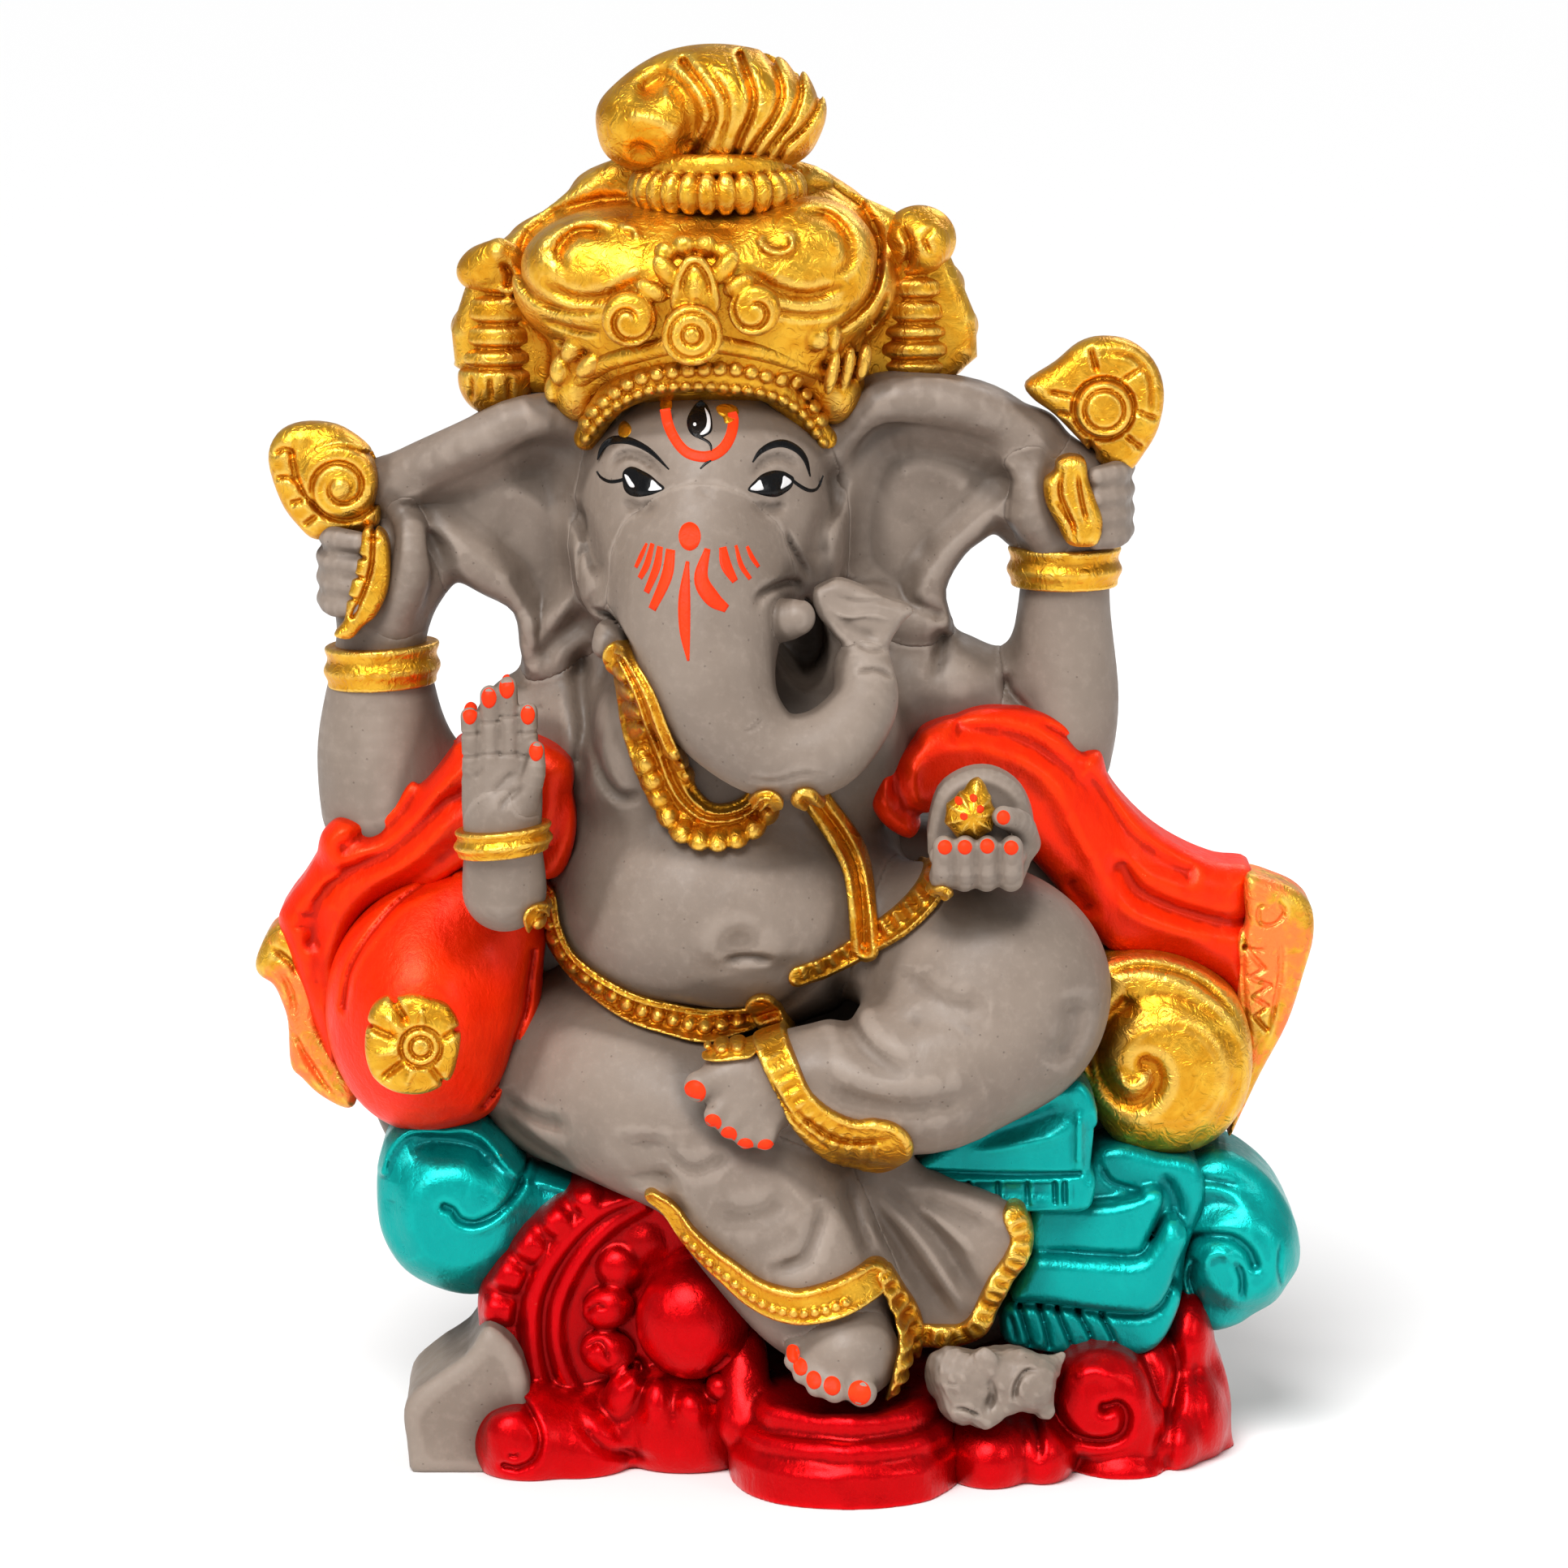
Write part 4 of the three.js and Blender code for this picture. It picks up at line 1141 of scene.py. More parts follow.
wrap = blend(
    5,
    egg((-16.7, -5, 250), (40.3, 26, 19)),
    egg((-16.2, -4, 238), (31, 24.5, 15)),
    egg((-40, -12, 255), (16, 13, 10.5)),
    egg((4, -12, 258), (16, 13, 10.5)),
    egg((10.5, -6, 228.5), (6.5, 10, 8)),
    egg((-43, -6, 229), (6.5, 10, 8)),
    plate([(-62, 227), (-66, 253), (-58, 259.5), (-47.5, 267.5), (-38.5, 274.6), (-28, 277), (3, 275.5),
        (13, 269.5), (24, 264.5), (34, 258), (34, 228)], 12, 0, 4),
)
turban = carved(
    wrap,
    crease([(-26.8, 266.8), (-38.6, 267.6), (-49.8, 263.6), (-54.9, 258.3), (-55, 252.8), (-51.3, 248.4),
        (-43.9, 245.0)], 1.3, 1.8, 4),
    crease([(-35.6, 262.3), (-43, 262.3), (-46.7, 258.6), (-45.2, 254.9)], 1.2, 1.6),
    crease([(-33, 264.5), (-43, 265), (-50, 260.5), (-50.5, 255)], 1.6, -0.9),
    crease([(-50.7, 252.9), (-43.7, 249.2), (-36.3, 249.7), (-31.2, 252.4), (-27.5, 255.1)], 1.3, 1.8),
    *creases([[(-52, 248), (-44, 246.2), (-37, 247.0)],
        [(-50.5, 244), (-43, 242.2), (-37.5, 242.0)]], 0.8, 1.0),
    crease([(-49, 240), (-44, 238.2), (-39.5, 236.0)], 0.8, 1.1),
    crease([(5, 271.3), (13.8, 268.3), (19.4, 261.2), (19.8, 254.6), (16.8, 247.6), (9, 241.5)], 1.1,
        1.8, 4),
    crease([(2.7, 266.6), (9.4, 265.5), (13.1, 261.5), (13.5, 256.3), (8.7, 252.6)], 1.3, 1.2),
    crease([(0, 268), (9, 268), (15.8, 262.5), (16.4, 256)], 1.4, -0.8),
    crease([(-9, 255.9), (-5.4, 253.6), (-0.2, 250.7), (6.4, 249.9), (13.1, 252.4)], 1.3, 1.9),
    crease([(20.2, 258.1), (19.1, 249.9), (14.7, 244.7), (7.2, 240.3)], 0.8, 1.2, 4),
    crease([(21.8, 249.5), (19.4, 243.3), (14.9, 238.6)], 0.8, 1.1, 4),
    crease([(-9, 250.2), (-1, 246.6), (7, 245.6), (14, 247)], 0.8, 1.0),
    crease([(-3.9, 262.4), (-4.9, 261), (-3.4, 259.4), (-0.5, 258.8), (1.6, 260), (1.4, 262),
        (-0.6, 262.6)], 0.7, -1.4),
    crease([(-30.2, 261), (-31.2, 263.4), (-34.5, 263.9)], 0.7, -1.0),
    crease([(-24.7, 261.4), (-17.8, 263.8), (-12, 263), (-8, 261.4)], 1.6, 1.0),
    crease([(-28, 268), (-22, 267), (-14, 265.8), (-6, 266.6), (2, 268.4)], 1.2, 0.8),
    *creases([[(8.3, 230), (8.6, 236)], [(11.3, 229), (11.8, 236)],
        [(14.4, 230), (15, 236.5)]], 0.7, 1.0),
    turban_folds,
)
leaves = [
    egg((-43.5, -17, 238.5), (2.4, 2.4, 4), (0, 35, 0)),
    egg((-40, -20, 235), (2.2, 2.4, 4), (0, 50, 0)),
    egg((-46.5, -14, 233.5), (2.4, 2.4, 3.6), (0, 20, 0)),
    egg((-48.3, -11, 229), (2, 2.2, 3.2), (0, 10, 0)),
    egg((6.5, -22, 241), (2.6, 2.2, 3.2), (0, -30, 0)),
    egg((10.2, -19, 240.5), (1.6, 2.2, 3.4)),
    egg((10, -18, 233), (1.4, 2.2, 4.8), (0, 12, 0)),
    egg((13.2, -15, 233.5), (1.4, 2.2, 4.6), (0, 12, 0)),
    egg((16.6, -12, 234.5), (1.6, 2.2, 4), (0, 12, 0)),
]
piece("turban", "gold_paint", blend(0.8, turban, *leaves), 1.1)


# ---------------------------------------------------------------- what the hands hold

piece(
    "axe_blade",
    "gold_paint",
    carved(
        blend(
            1.5,
            plate([(-108.9, 213), (-107.1, 218.5), (-102, 221), (-94.6, 220.5), (-89, 216.8),
                (-86, 211.5), (-85.6, 205), (-85.8, 199.4), (-92, 197.4), (-99, 196.2), (-103, 199.4),
                (-106.4, 204.4)], 1, -9.5, 4),
            drum((-94, -6, 209.5), 8.6, 5, 2.5, 1.0),
            egg((-93.2, -12, 207.9), (1.8, 1.4, 1.8)),
        ),
        whorl((-93.2, 207.9), 3.9, 0.6, 1.2, 0.1, 1, 9.4, 2.0, -2),
        crease([(-102.8, 218), (-103.6, 213.5), (-102, 208), (-98, 202.4), (-95, 200.4)], 0.7, 1.3, -2),
        *creases([[(-107.6, 214.6), (-104.9, 215.8), (-103, 214)],
            [(-107.3, 209.6), (-104.4, 209.8), (-102.4, 208.6)]], 0.6, 1.1, -2),
        *creases([[(-104.4, 204.2), (-101, 205.2)], [(-101.5, 199.5), (-98.4, 201.8)]], 0.6, 1.0, -2),
    ),
    0.8,
)
piece(
    "goad_head",
    "gold_paint",
    carved(
        blend(
            1.5,
            plate([(51, 229.5), (57.2, 233.8), (62, 237.8), (67, 239.2), (73, 238.2), (78, 234),
                (80.1, 227.6), (79, 220), (76, 214.5), (72.8, 210.8), (68, 211.5), (62.5, 217.2),
                (57, 222.8), (52.3, 226.3)], 1, -9.5, 4),
            drum((67.2, -7, 224.4), 6.2, 5, 2, 1.0),
        ),
        rings((67.2, 224.4), [4.2, 6.4], 0.5, 1.1, -2),
        *creases([[(61.3, 226.9), (55.2, 228)], [(64.3, 237.4), (65.9, 231.8)]], 0.6, 1.2, -2),
        *creases([[(70.5, 230), (76, 233.5)], [(73.8, 224), (79, 222)], [(71.6, 219), (75.8, 215.5)],
            [(64, 218.4), (66, 213.5)], [(60.8, 222.6), (57.6, 223.6)]], 0.6, 1.0, -2),
        crease([(66, 236), (73, 235.5), (77, 230), (77, 221)], 0.7, 0.8, -2),
    ),
    0.8,
)
piece(
    "axe_handle",
    "gold_paint",
    carved(
        plate([(-88.6, 199), (-86.6, 199.8), (-83.8, 198), (-82.9, 192), (-83.6, 186), (-86, 181),
            (-88.6, 178.8), (-91.5, 176), (-95, 176.8), (-92.8, 180), (-92, 185), (-90.6, 190),
            (-89.4, 195)], -6, -14.6, 2),
        crease([(-86.4, 199), (-86.8, 192), (-88.6, 186), (-91, 181)], 0.5, 1.3, -5, ends=False),
        *creases([[(-90.5, 193.6), (-87.5, 193.3)], [(-91.5, 189.5), (-88, 189)],
            [(-92.5, 184.8), (-89.4, 184.5)]], 0.5, 1.0, -5),
        crease([(-84.5, 197.2), (-88, 197.6)], 0.4, 0.7, -5),
    ),
    0.7,
)
piece(
    "goad_handle",
    "gold_paint",
    carved(
        plate([(57.4, 213.8), (60.1, 215), (63.2, 214), (64, 210), (65.6, 205.5), (67, 201), (66, 196.4),
            (62.5, 195.6), (59.4, 196.6), (57.4, 200.5), (55, 205), (54.6, 209.5), (56.8, 211.5)], -6,
            -15.6, 2.4),
        crease([(58.4, 212.5), (58, 207), (60.5, 201), (61.2, 197)], 0.5, 1.2, -5),
        crease([(61.5, 212), (62.4, 206), (63.8, 200.4)], 0.5, 1.1, -5),
        crease([(57, 206), (60.5, 200.6)], 0.6, 0.8, -5),
    ),
    0.7,
)


def cuff(centre, radius, half, thick, squash=1.0, tilt=0.0):
    """A broad bracelet with a rim at each edge."""
    cx, cy, cz = centre

    def distance(p):
        x, y = p[0] - cx, (p[1] - cy) / squash
        z = p[2] - cz - tilt * x
        rho = np.hypot(x, y) - radius
        swell = thick + 0.8 * np.cos(z / half * 2.9 + 0.5) ** 2 - 0.4 * (np.abs(z) / half) ** 4
        return smax(np.abs(rho) - swell, np.abs(z) - half + 0.6, 0.8) - 0.5

    size = radius + 2 * thick + 1
    return Form(distance, [cx - size, cy - size * squash, cz - half - 3],
        [cx + size, cy + size * squash, cz + half + 3])


piece("right_rear_bangle", "gold_paint", cuff((-85.8, 1, 168.6), 10.0, 4.6, 1.2, 1.0, 0.05), 0.8)
piece("left_rear_bangle", "gold_paint", cuff((59.7, 1, 189.8), 9.8, 4.4, 1.2), 0.8)
piece("right_front_bangle", "gold_paint", cuff((-58.5, -36.4, 137.4), 8.2, 3.0, 0.9, 0.95, 0.10), 0.8)


def pinches(p):
    """The sweet's pinched pleats, which run out from its tip."""
    x, z = p[0] - 38.6, p[2] - 145.5
    return 0.5 * np.abs(np.sin(np.arctan2(z, x) * 4.5)) * np.clip(np.hypot(x, z) / 3, 0, 1)


piece(
    "modak",
    "gold_paint",
    carved(
        blend(1, egg((38.4, -50.5, 145), (5.6, 4.4, 5.4)), egg((39.5, -50, 149), (3, 3, 4))),
        pinches,
    ),
    0.7,
)


# ---------------------------------------------------------------- trims that lie on the clay


def neck_width(t):
    """The necklace's width, widest below its middle."""
    return 7.0 + 4.0 * np.sin(np.pi * np.minimum(t * 1.3, 1))


neck_line = [(-34.2, 175.5), (-31, 169.1), (-28.8, 161.3), (-26.4, 154.3), (-24.4, 148.6),
    (-21.4, 143.9), (-16.5, 140.8), (-10.2, 141), (-5.8, 143.4), (-3.6, 147)]
neck_edge = [(-29.8, 154.5), (-27.4, 149.0), (-25.4, 143.8), (-22.6, 139.6), (-18.2, 137.6),
    (-13.4, 137.4), (-9, 138.2), (-5, 140.6), (-2.2, 144)]
necklace = blend(
    0.6,
    band(
        BODY,
        neck_line,
        neck_width,
        1.7,
        lambda a, c: 1.3 * hump(c, 0.1, 0.14) + 1.2 * hump(c, 0.56, 0.14)
            + 0.5 * np.sin(a * 1.6) * (c < -0.2),
        front=-6,
    ),
    beads(BODY, neck_edge, 4.0, 2.5, 1.2, -6),
    beads(BODY, [(-35.4, 174.5), (-33, 168.6), (-31.2, 163.6), (-30, 158)], 3.9, 2.4, 1.2, -6),
    beads(BODY, [(-33.4, 171), (-31, 165), (-29.2, 158.6)], 4.6, 1.5, 1.9, -6),
    beads(BODY, [(-24.6, 157.5), (-21.8, 152.8), (-20.2, 148.6)], 3.9, 2.2, 1.0, -6),
)
piece("necklace", "gold_paint", necklace, 0.8)
belt_left = [(-51.2, 121), (-50.2, 115.6), (-47.7, 109.9), (-43.9, 106.3), (-38.3, 103.0),
    (-31.7, 100.2), (-24, 98.4), (-16.3, 96.9), (-8, 97.6)]
belt_right = [(3.5, 108), (9, 109.6), (13.9, 112.2), (19.5, 116.0), (24.4, 119.7), (29.3, 124.4),
    (32.4, 128.4)]
belt = blend(
    0.5,
    band(BODY, belt_left, 6.4, 1.2,
        lambda a, c: 0.9 * hump(c, 0.62, 0.14) + 0.7 * hump(c, 0.95, 0.1) + 0.4 * hump(c, -0.85, 0.12),
        front=2),
    beads(BODY, belt_left, 3.4, 1.55, 1.2, 2),
    band(BODY, belt_right, 5.2, 1.3,
        lambda a, c: 0.7 * hump(c, -0.6, 0.15) + 0.5 * np.sin(a * 1.9) * (c > -0.2), front=2),
)
piece("belt", "gold_paint", belt, 0.8)
thread_line = [(4.4, 148), (8.0, 142.5), (12.2, 136.3), (15.2, 130.1), (16.4, 122.3), (16.9, 113.5)]
piece(
    "sacred_thread",
    "gold_paint",
    band(BODY, thread_line, 6.0, 1.5,
        lambda a, c: 0.9 * hump(np.abs(c), 0.55, 0.28) - 0.5 * hump(c, 0, 0.18), front=-6),
    0.8,
)
piece(
    "crossed_leg_hem",
    "gold_paint",
    carved(
        band(BODY, [(-4.7, 101), (-0.8, 93.2), (2.2, 86.6), (6.8, 80.2), (13, 75.6), (19.5, 74.2)],
            lambda t: 7 + 8 * np.clip((t - 0.45) * 2, 0, 1), 2.2,
            lambda a, c: 0.5 * hump(c, 0.8, 0.12) + 0.25 * np.sin(a * 2.2) * np.cos(c * 2),
            sink=2, soft=1.6, front=-20),
        crease([(1, 85.5), (4.5, 81.5), (12, 76.8), (20, 77), (23, 78.5)], 0.8, 1.6),
        crease([(-3.5, 92), (0.5, 84.2), (5.5, 78), (10, 74)], 0.5, 0.7),
    ),
    0.8,
)
hem_line = [(-27.6, 62.2), (-24, 59.8), (-20.6, 55.4), (-16.3, 51.2), (-11.6, 47.7), (-6.9, 44.2),
    (-2.2, 42.2), (3, 41.4), (8.5, 42.5), (13.4, 44.0), (18.5, 46.0)]
piece(
    "hanging_leg_hem",
    "gold_paint",
    blend(
        0.5,
        band(BODY, hem_line, lambda t: 3.4 + 4.6 * np.clip(t * 1.6, 0, 1), 2.0,
            lambda a, c: 0.7 * hump(c, 0.75, 0.2) + 0.5 * hump(c, -0.8, 0.15),
            sink=2, soft=1.2, front=-8),
        beads(BODY, [(-21.6, 55), (-16.5, 50.3), (-11.8, 46.6), (-6.9, 43), (-2.2, 40.9), (3, 40.2),
            (8.5, 41.2), (14, 43)], 2.3, 1.0, 2.0, -8),
    ),
    0.8,
)
piece(
    "front_pleat_hem",
    "gold_paint",
    band(BODY, [(21.2, 46.5), (23.6, 41.6), (25.8, 37.2), (26.8, 32.7), (26, 27.4), (25, 22.1),
        (23.9, 18)], lambda t: 3.6 + 2.6 * np.clip(t * 1.5, 0, 1), 2.6,
        lambda a, c: 0.5 * np.sin(a * 1.7) * np.cos(c * 2.2), sink=3, soft=1.2, front=-14),
    0.8,
)
piece(
    "fan_pleat_hem",
    "gold_paint",
    band(BODY, [(48.6, 57), (50.2, 52), (48.6, 47.3), (45.4, 42.5), (43.4, 38.2), (41, 33.6),
        (37.6, 31.2), (33, 31.0), (28.8, 31.2)], 5.2, 2.4,
        lambda a, c: 0.6 * np.sin(a * 0.75 + 1) + 0.3 * np.sin(a * 2.3) * np.cos(c * 2),
        sink=3, soft=1.4, front=-10),
    0.8,
)


# ---------------------------------------------------------------- cushions and scarf

piece(
    "cushion_medallion",
    "gold_paint",
    carved(
        plate([(-87.8, 95.8), (-86.8, 100.5), (-84, 103.4), (-80.6, 103.8), (-77.5, 104.2),
            (-73.5, 103.2), (-70.3, 101.6), (-68, 96.8), (-68.3, 91.5), (-70, 86), (-74, 83.3),
            (-78, 82.6), (-82.4, 83.4), (-86.2, 86.2), (-87.8, 90.8)], -31, -38.2, 2,
            bow=lambda x, z: 0.012 * ((x + 78) ** 2 + (z - 93) ** 2)),
        rings((-76.1, 93.2), [2.2, 4.2], 0.5, 1.1, -20),
        *creases([[(-82.4, 104), (-78.6, 97.8)], [(-88, 98), (-80.6, 94.8)]], 0.8, 1.5, -20),
        crease([(-85, 86), (-79, 90.6)], 0.8, 1.4, -20),
        *creases([[(-74.6, 89.5), (-71, 84.6)], [(-72, 94.6), (-68, 97)]], 0.8, 1.3, -20),
        *creases([[(-84, 100.6), (-79.4, 96)], [(-86, 91.5), (-80, 92.6)],
            [(-79.5, 84.5), (-77.4, 89.4)], [(-76, 102), (-75.6, 97.4)]], 0.9, -0.8, -20),
    ),
    0.8,
)
red_rim = [(-53.1, 109.8), (-54.1, 102.9), (-54.9, 97.2), (-56.8, 91.6), (-58.4, 85.3), (-60.6, 81),
    (-64, 76.4)]
piece(
    "right_cushion",
    "scarlet_paint",
    carved(
        blend(
            9,
            plate([(-51.4, 106), (-52.6, 99), (-53.2, 92), (-56.4, 86), (-58.2, 81), (-61.5, 76),
                (-66, 72.6), (-72, 71), (-78, 70.8), (-84, 72.6), (-89, 76.6), (-92.6, 82.2),
                (-94.8, 88.5), (-95.6, 96), (-94.4, 104.5), (-91.6, 110.5), (-86.4, 116.5), (-80, 121.6),
                (-71, 126), (-62, 126), (-54, 122), (-51, 114)], 18, -22, 9),
            egg((-76.5, -12, 96.5), (19, 24, 23.5)),
        ),
        crease(red_rim, 0.7, 1.3, 0, ends=False),
        crease([(-51.6, 104), (-52.6, 96), (-54.6, 89.6), (-57, 83)], 1.2, -0.6),
        crease([(-70.9, 125.8), (-77.1, 123.0), (-82.1, 119.9), (-86.4, 115.3), (-89.6, 110.9),
            (-92.0, 106), (-93.2, 99)], 0.8, 1.0, ends=False),
        dimple((-62, -34, 108), 4, 0.9),
        dimple((-60, -34, 100), 3, 0.6),
    ),
    1.2,
)
piece(
    "left_cushion",
    "gold_paint",
    carved(
        blend(
            6,
            plate([(66.9, 106.4), (72.3, 108.2), (78.5, 108.2), (85.4, 106.4), (91.6, 103.0),
                (96.8, 98.1), (99.2, 91.1), (99.4, 82.9), (97.5, 75.2), (93.4, 69.2), (87.2, 65.6),
                (79, 64.9), (72.1, 66.9), (68.3, 71.5), (66.6, 76.2), (64.6, 80.0), (62.8, 84.4),
                (63.9, 91.4), (65.4, 99.1)], 16, -19, 6),
            drum((81.6, -8, 84), 15.6, 14, 6, 2.0),
        ),
        crease([(72.3, 98.1), (68.9, 93.9), (66.9, 88.3), (67.7, 83.4), (70.4, 79.1), (73.9, 77.5),
            (77.3, 78.9), (79.3, 82.4), (78.6, 85.5), (76.8, 86.4)], 2.0, 2.2, ends=False),
        crease([(70.2, 84.6), (73, 81.6), (76.2, 82.4), (76.6, 85)], 1.2, -1.2),
        crease([(72.3, 97.6), (78.5, 100.4), (85.4, 99.2), (92, 94.6), (95.8, 87.5), (95.4, 79.6),
            (92, 72.4), (85.7, 67.6)], 1.8, 0.6),
        crease([(67.6, 104.6), (73, 106), (79, 106), (86, 104), (92, 100), (96, 95.4)], 0.8, 0.9),
        crease([(65, 99), (64.4, 92), (64.9, 85), (66.4, 80)], 0.8, 0.8),
    ),
    1.0,
)
piece(
    "right_scarf_fringe",
    "gold_paint",
    carved(
        plate([(-109, 112.6), (-112.1, 108.2), (-113.6, 103.8), (-112.7, 101.2), (-109.8, 99.3),
            (-107.9, 95.4), (-106.7, 91), (-106.2, 81.9), (-103.8, 79), (-100, 75.5), (-94.4, 72.8),
            (-92, 74.5), (-92.5, 80.7), (-95.5, 87), (-98.1, 93), (-99.9, 99), (-101.5, 106),
            (-104, 113)], 8, -7, 3.5, bow=lambda x, z: -0.2 * (x + 101)),
        crease([(-110, 108), (-106, 105), (-103, 101)], 0.8, 1.2, 4),
        crease([(-108, 103), (-105.6, 98), (-104.8, 92)], 0.8, 1.3, 4),
        crease([(-105.4, 90), (-102.6, 84), (-98.5, 78.6)], 0.7, 1.2, 4),
        crease([(-103.8, 86), (-100, 79.8), (-96, 75.6)], 0.6, 1.0, 4),
        crease([(-101.6, 96), (-99.6, 89.6), (-96, 84), (-93.8, 79)], 0.7, 1.1, 4),
        crease([(-104.5, 109.5), (-103, 106)], 0.7, 1.0, 4),
    ),
    0.8,
)
piece(
    "left_scarf_border",
    "gold_paint",
    carved(
        plate([(99.2, 124), (106, 122), (110.5, 119.6), (113.2, 116.1), (113.6, 109.7), (111.6, 101.9),
            (108.2, 91.2), (102.6, 80.5), (98.6, 72), (95.6, 66), (97.4, 76), (98.6, 84), (98.4, 92),
            (97.4, 97.2), (97.6, 104), (97, 109.4), (98.6, 114), (98.4, 119)], 9, -8, 3,
            bow=lambda x, z: 0.18 * (x - 98)),
        *creases([[(104.2, 117.6), (101.6, 117), (101.8, 113.6), (105, 113.4), (107, 116), (105.4, 119)],
            [(98.6, 109.2), (99.9, 108), (103.4, 107.6)]], 0.5, 0.9, 4),
        crease([(98.6, 108.4), (102.8, 103.6), (99.6, 101.8), (104.2, 100), (100.4, 97.6), (103.8, 95.4),
            (100.8, 93.2), (103.4, 90.4)], 0.5, 1.0, 4, ends=False, per=1),
        crease([(105.8, 112), (106.4, 104), (105.2, 96), (103.4, 88)], 0.6, 0.7, 4),
        crease([(98.8, 119), (98.6, 112), (98.4, 103), (99, 95), (100.4, 87)], 0.5, 0.6, 4),
    ),
    0.8,
)
piece(
    "right_scarf",
    "scarlet_paint",
    carved(
        blend(
            3,
            plate(
                [(-45, 151), (-52, 155), (-61, 156), (-70, 153.5), (-74, 150.4), (-79.6, 145.4),
                    (-83.2, 140.4), (-87.5, 137), (-90.5, 135.6), (-94.6, 136.3), (-97.4, 133.9),
                    (-98.6, 131.4), (-100.2, 127.6), (-103.2, 122.6), (-106.3, 118.4), (-108.4, 113.6),
                    (-106, 106), (-103, 98), (-100.5, 90), (-97, 83), (-94.6, 88), (-94.6, 98),
                    (-92.6, 108.3), (-88, 115.9), (-80.4, 120.7), (-73.3, 123.2), (-66, 128), (-56, 126),
                    (-48, 126), (-44.4, 133), (-43.8, 142)],
                8,
                -15,
                6,
                bow=lambda x, z: -0.26 * (x + 84),
            ),
            egg((-92.6, -8, 131), (6, 6, 5)),
        ),
        crease([(-68.3, 143.3), (-72, 141.4), (-75.7, 137.7), (-79.4, 134), (-83.2, 130.4),
            (-86.9, 128.3), (-90.6, 126.7), (-94.3, 124.6), (-97.5, 121.2), (-100, 116.6), (-101, 110)],
            2.0, 2.1, ends=False),
        crease([(-72.3, 151.5), (-76.7, 144.0), (-79.4, 139.4), (-82.4, 135.9), (-85.8, 133.8),
            (-90, 132.6), (-93, 131)], 2.2, 2.6, 2, ends=False),
        crease([(-66, 150), (-71, 146), (-76, 140), (-80, 136.2), (-85, 132.6)], 2.0, -1.2),
        crease([(-66, 139.5), (-72, 136), (-78, 130.5), (-84, 126.4), (-90, 123)], 2.2, -1.2),
        crease([(-62, 133), (-69, 132), (-75, 127.4), (-80.4, 123.8), (-85.4, 120.9), (-89, 117),
            (-92.6, 111.4), (-95, 105)], 2.4, 1.5, ends=False),
        crease([(-96, 118), (-98.4, 112), (-99.4, 104), (-99, 96)], 2.2, 1.4),
        crease([(-102, 117), (-103.5, 112)], 1.6, 1.0),
        crease([(-93, 126), (-97.8, 123.4), (-101.4, 118.8)], 1.0, -0.8),
        crease([(-46, 150), (-46.4, 142), (-49, 134), (-53, 129)], 2.2, 1.3),
    ),
    1.1,
)
piece(
    "left_scarf",
    "scarlet_paint",
    carved(
        plate(
            [(19.6, 147.5), (22.6, 153.2), (29.9, 157.4), (38.8, 160.4), (45, 161), (54, 160), (60, 157),
                (63.6, 152), (67.4, 150.6), (69.4, 144.5), (73.6, 138.8), (79.3, 133.3), (86, 129),
                (93, 126), (100.2, 124.4), (100.6, 116.5), (101.6, 108), (98.6, 96.4), (93.9, 100.2),
                (88, 103.2), (81, 105.6), (75.1, 106.1), (69.6, 107.9), (63.2, 114.6), (56.8, 123.4),
                (51, 130), (46, 136), (42, 141), (37, 143), (33, 141), (29.6, 137), (26.5, 134.2),
                (21.3, 137.4), (18.4, 142.4)],
            9,
            -15,
            6.5,
            bow=lambda x, z: 0.2 * (x - 55) - 0.004 * (x - 55) ** 2 * (x < 55),
        ),
        crease([(37.2, 157.0), (44.1, 156.4), (50.9, 154.3), (57.1, 150.1), (61.9, 146), (66.1, 141.1),
            (69.5, 136.2), (73, 131.4), (78.5, 127.4), (86, 124.4)], 2.0, 1.7, 2, ends=False),
        crease([(61.4, 151), (65.6, 145.4), (69.0, 140.3), (72.5, 134.9), (76, 131.4), (80.2, 128.6),
            (85, 127.0)], 1.4, 1.1, 2),
        crease([(72.0, 126.3), (74.8, 121.6), (79, 118.8), (85.2, 116), (92.2, 113.9), (98.6, 112.8)],
            2.2, 2.1, 2, ends=False),
        crease([(70.6, 121.8), (73.5, 117.5), (78, 114.9), (85.2, 112.4), (92.2, 110.6)], 2.4, -1.3),
        crease([(40, 152.6), (47, 151.4), (53.4, 148.6), (58.4, 143), (62, 136), (66, 128.6),
            (70.5, 120)], 2.6, -1.4),
        crease([(60, 126), (62.6, 121), (66.6, 115.6)], 2.0, 1.3, 2),
        crease([(26.2, 155.1), (24.0, 151.7), (23.6, 146.8), (25.2, 142), (28.3, 139.5)], 2.2, 2.1,
            ends=False),
        crease([(22, 150), (21.2, 145), (22.4, 141)], 1.4, -0.9),
        crease([(28, 152), (27.4, 146), (29, 142)], 1.4, -0.8),
        crease([(54, 158.2), (60, 154.4), (64.6, 150)], 0.8, 1.0, 2),
    ),
    1.1,
)


# ---------------------------------------------------------------- throne

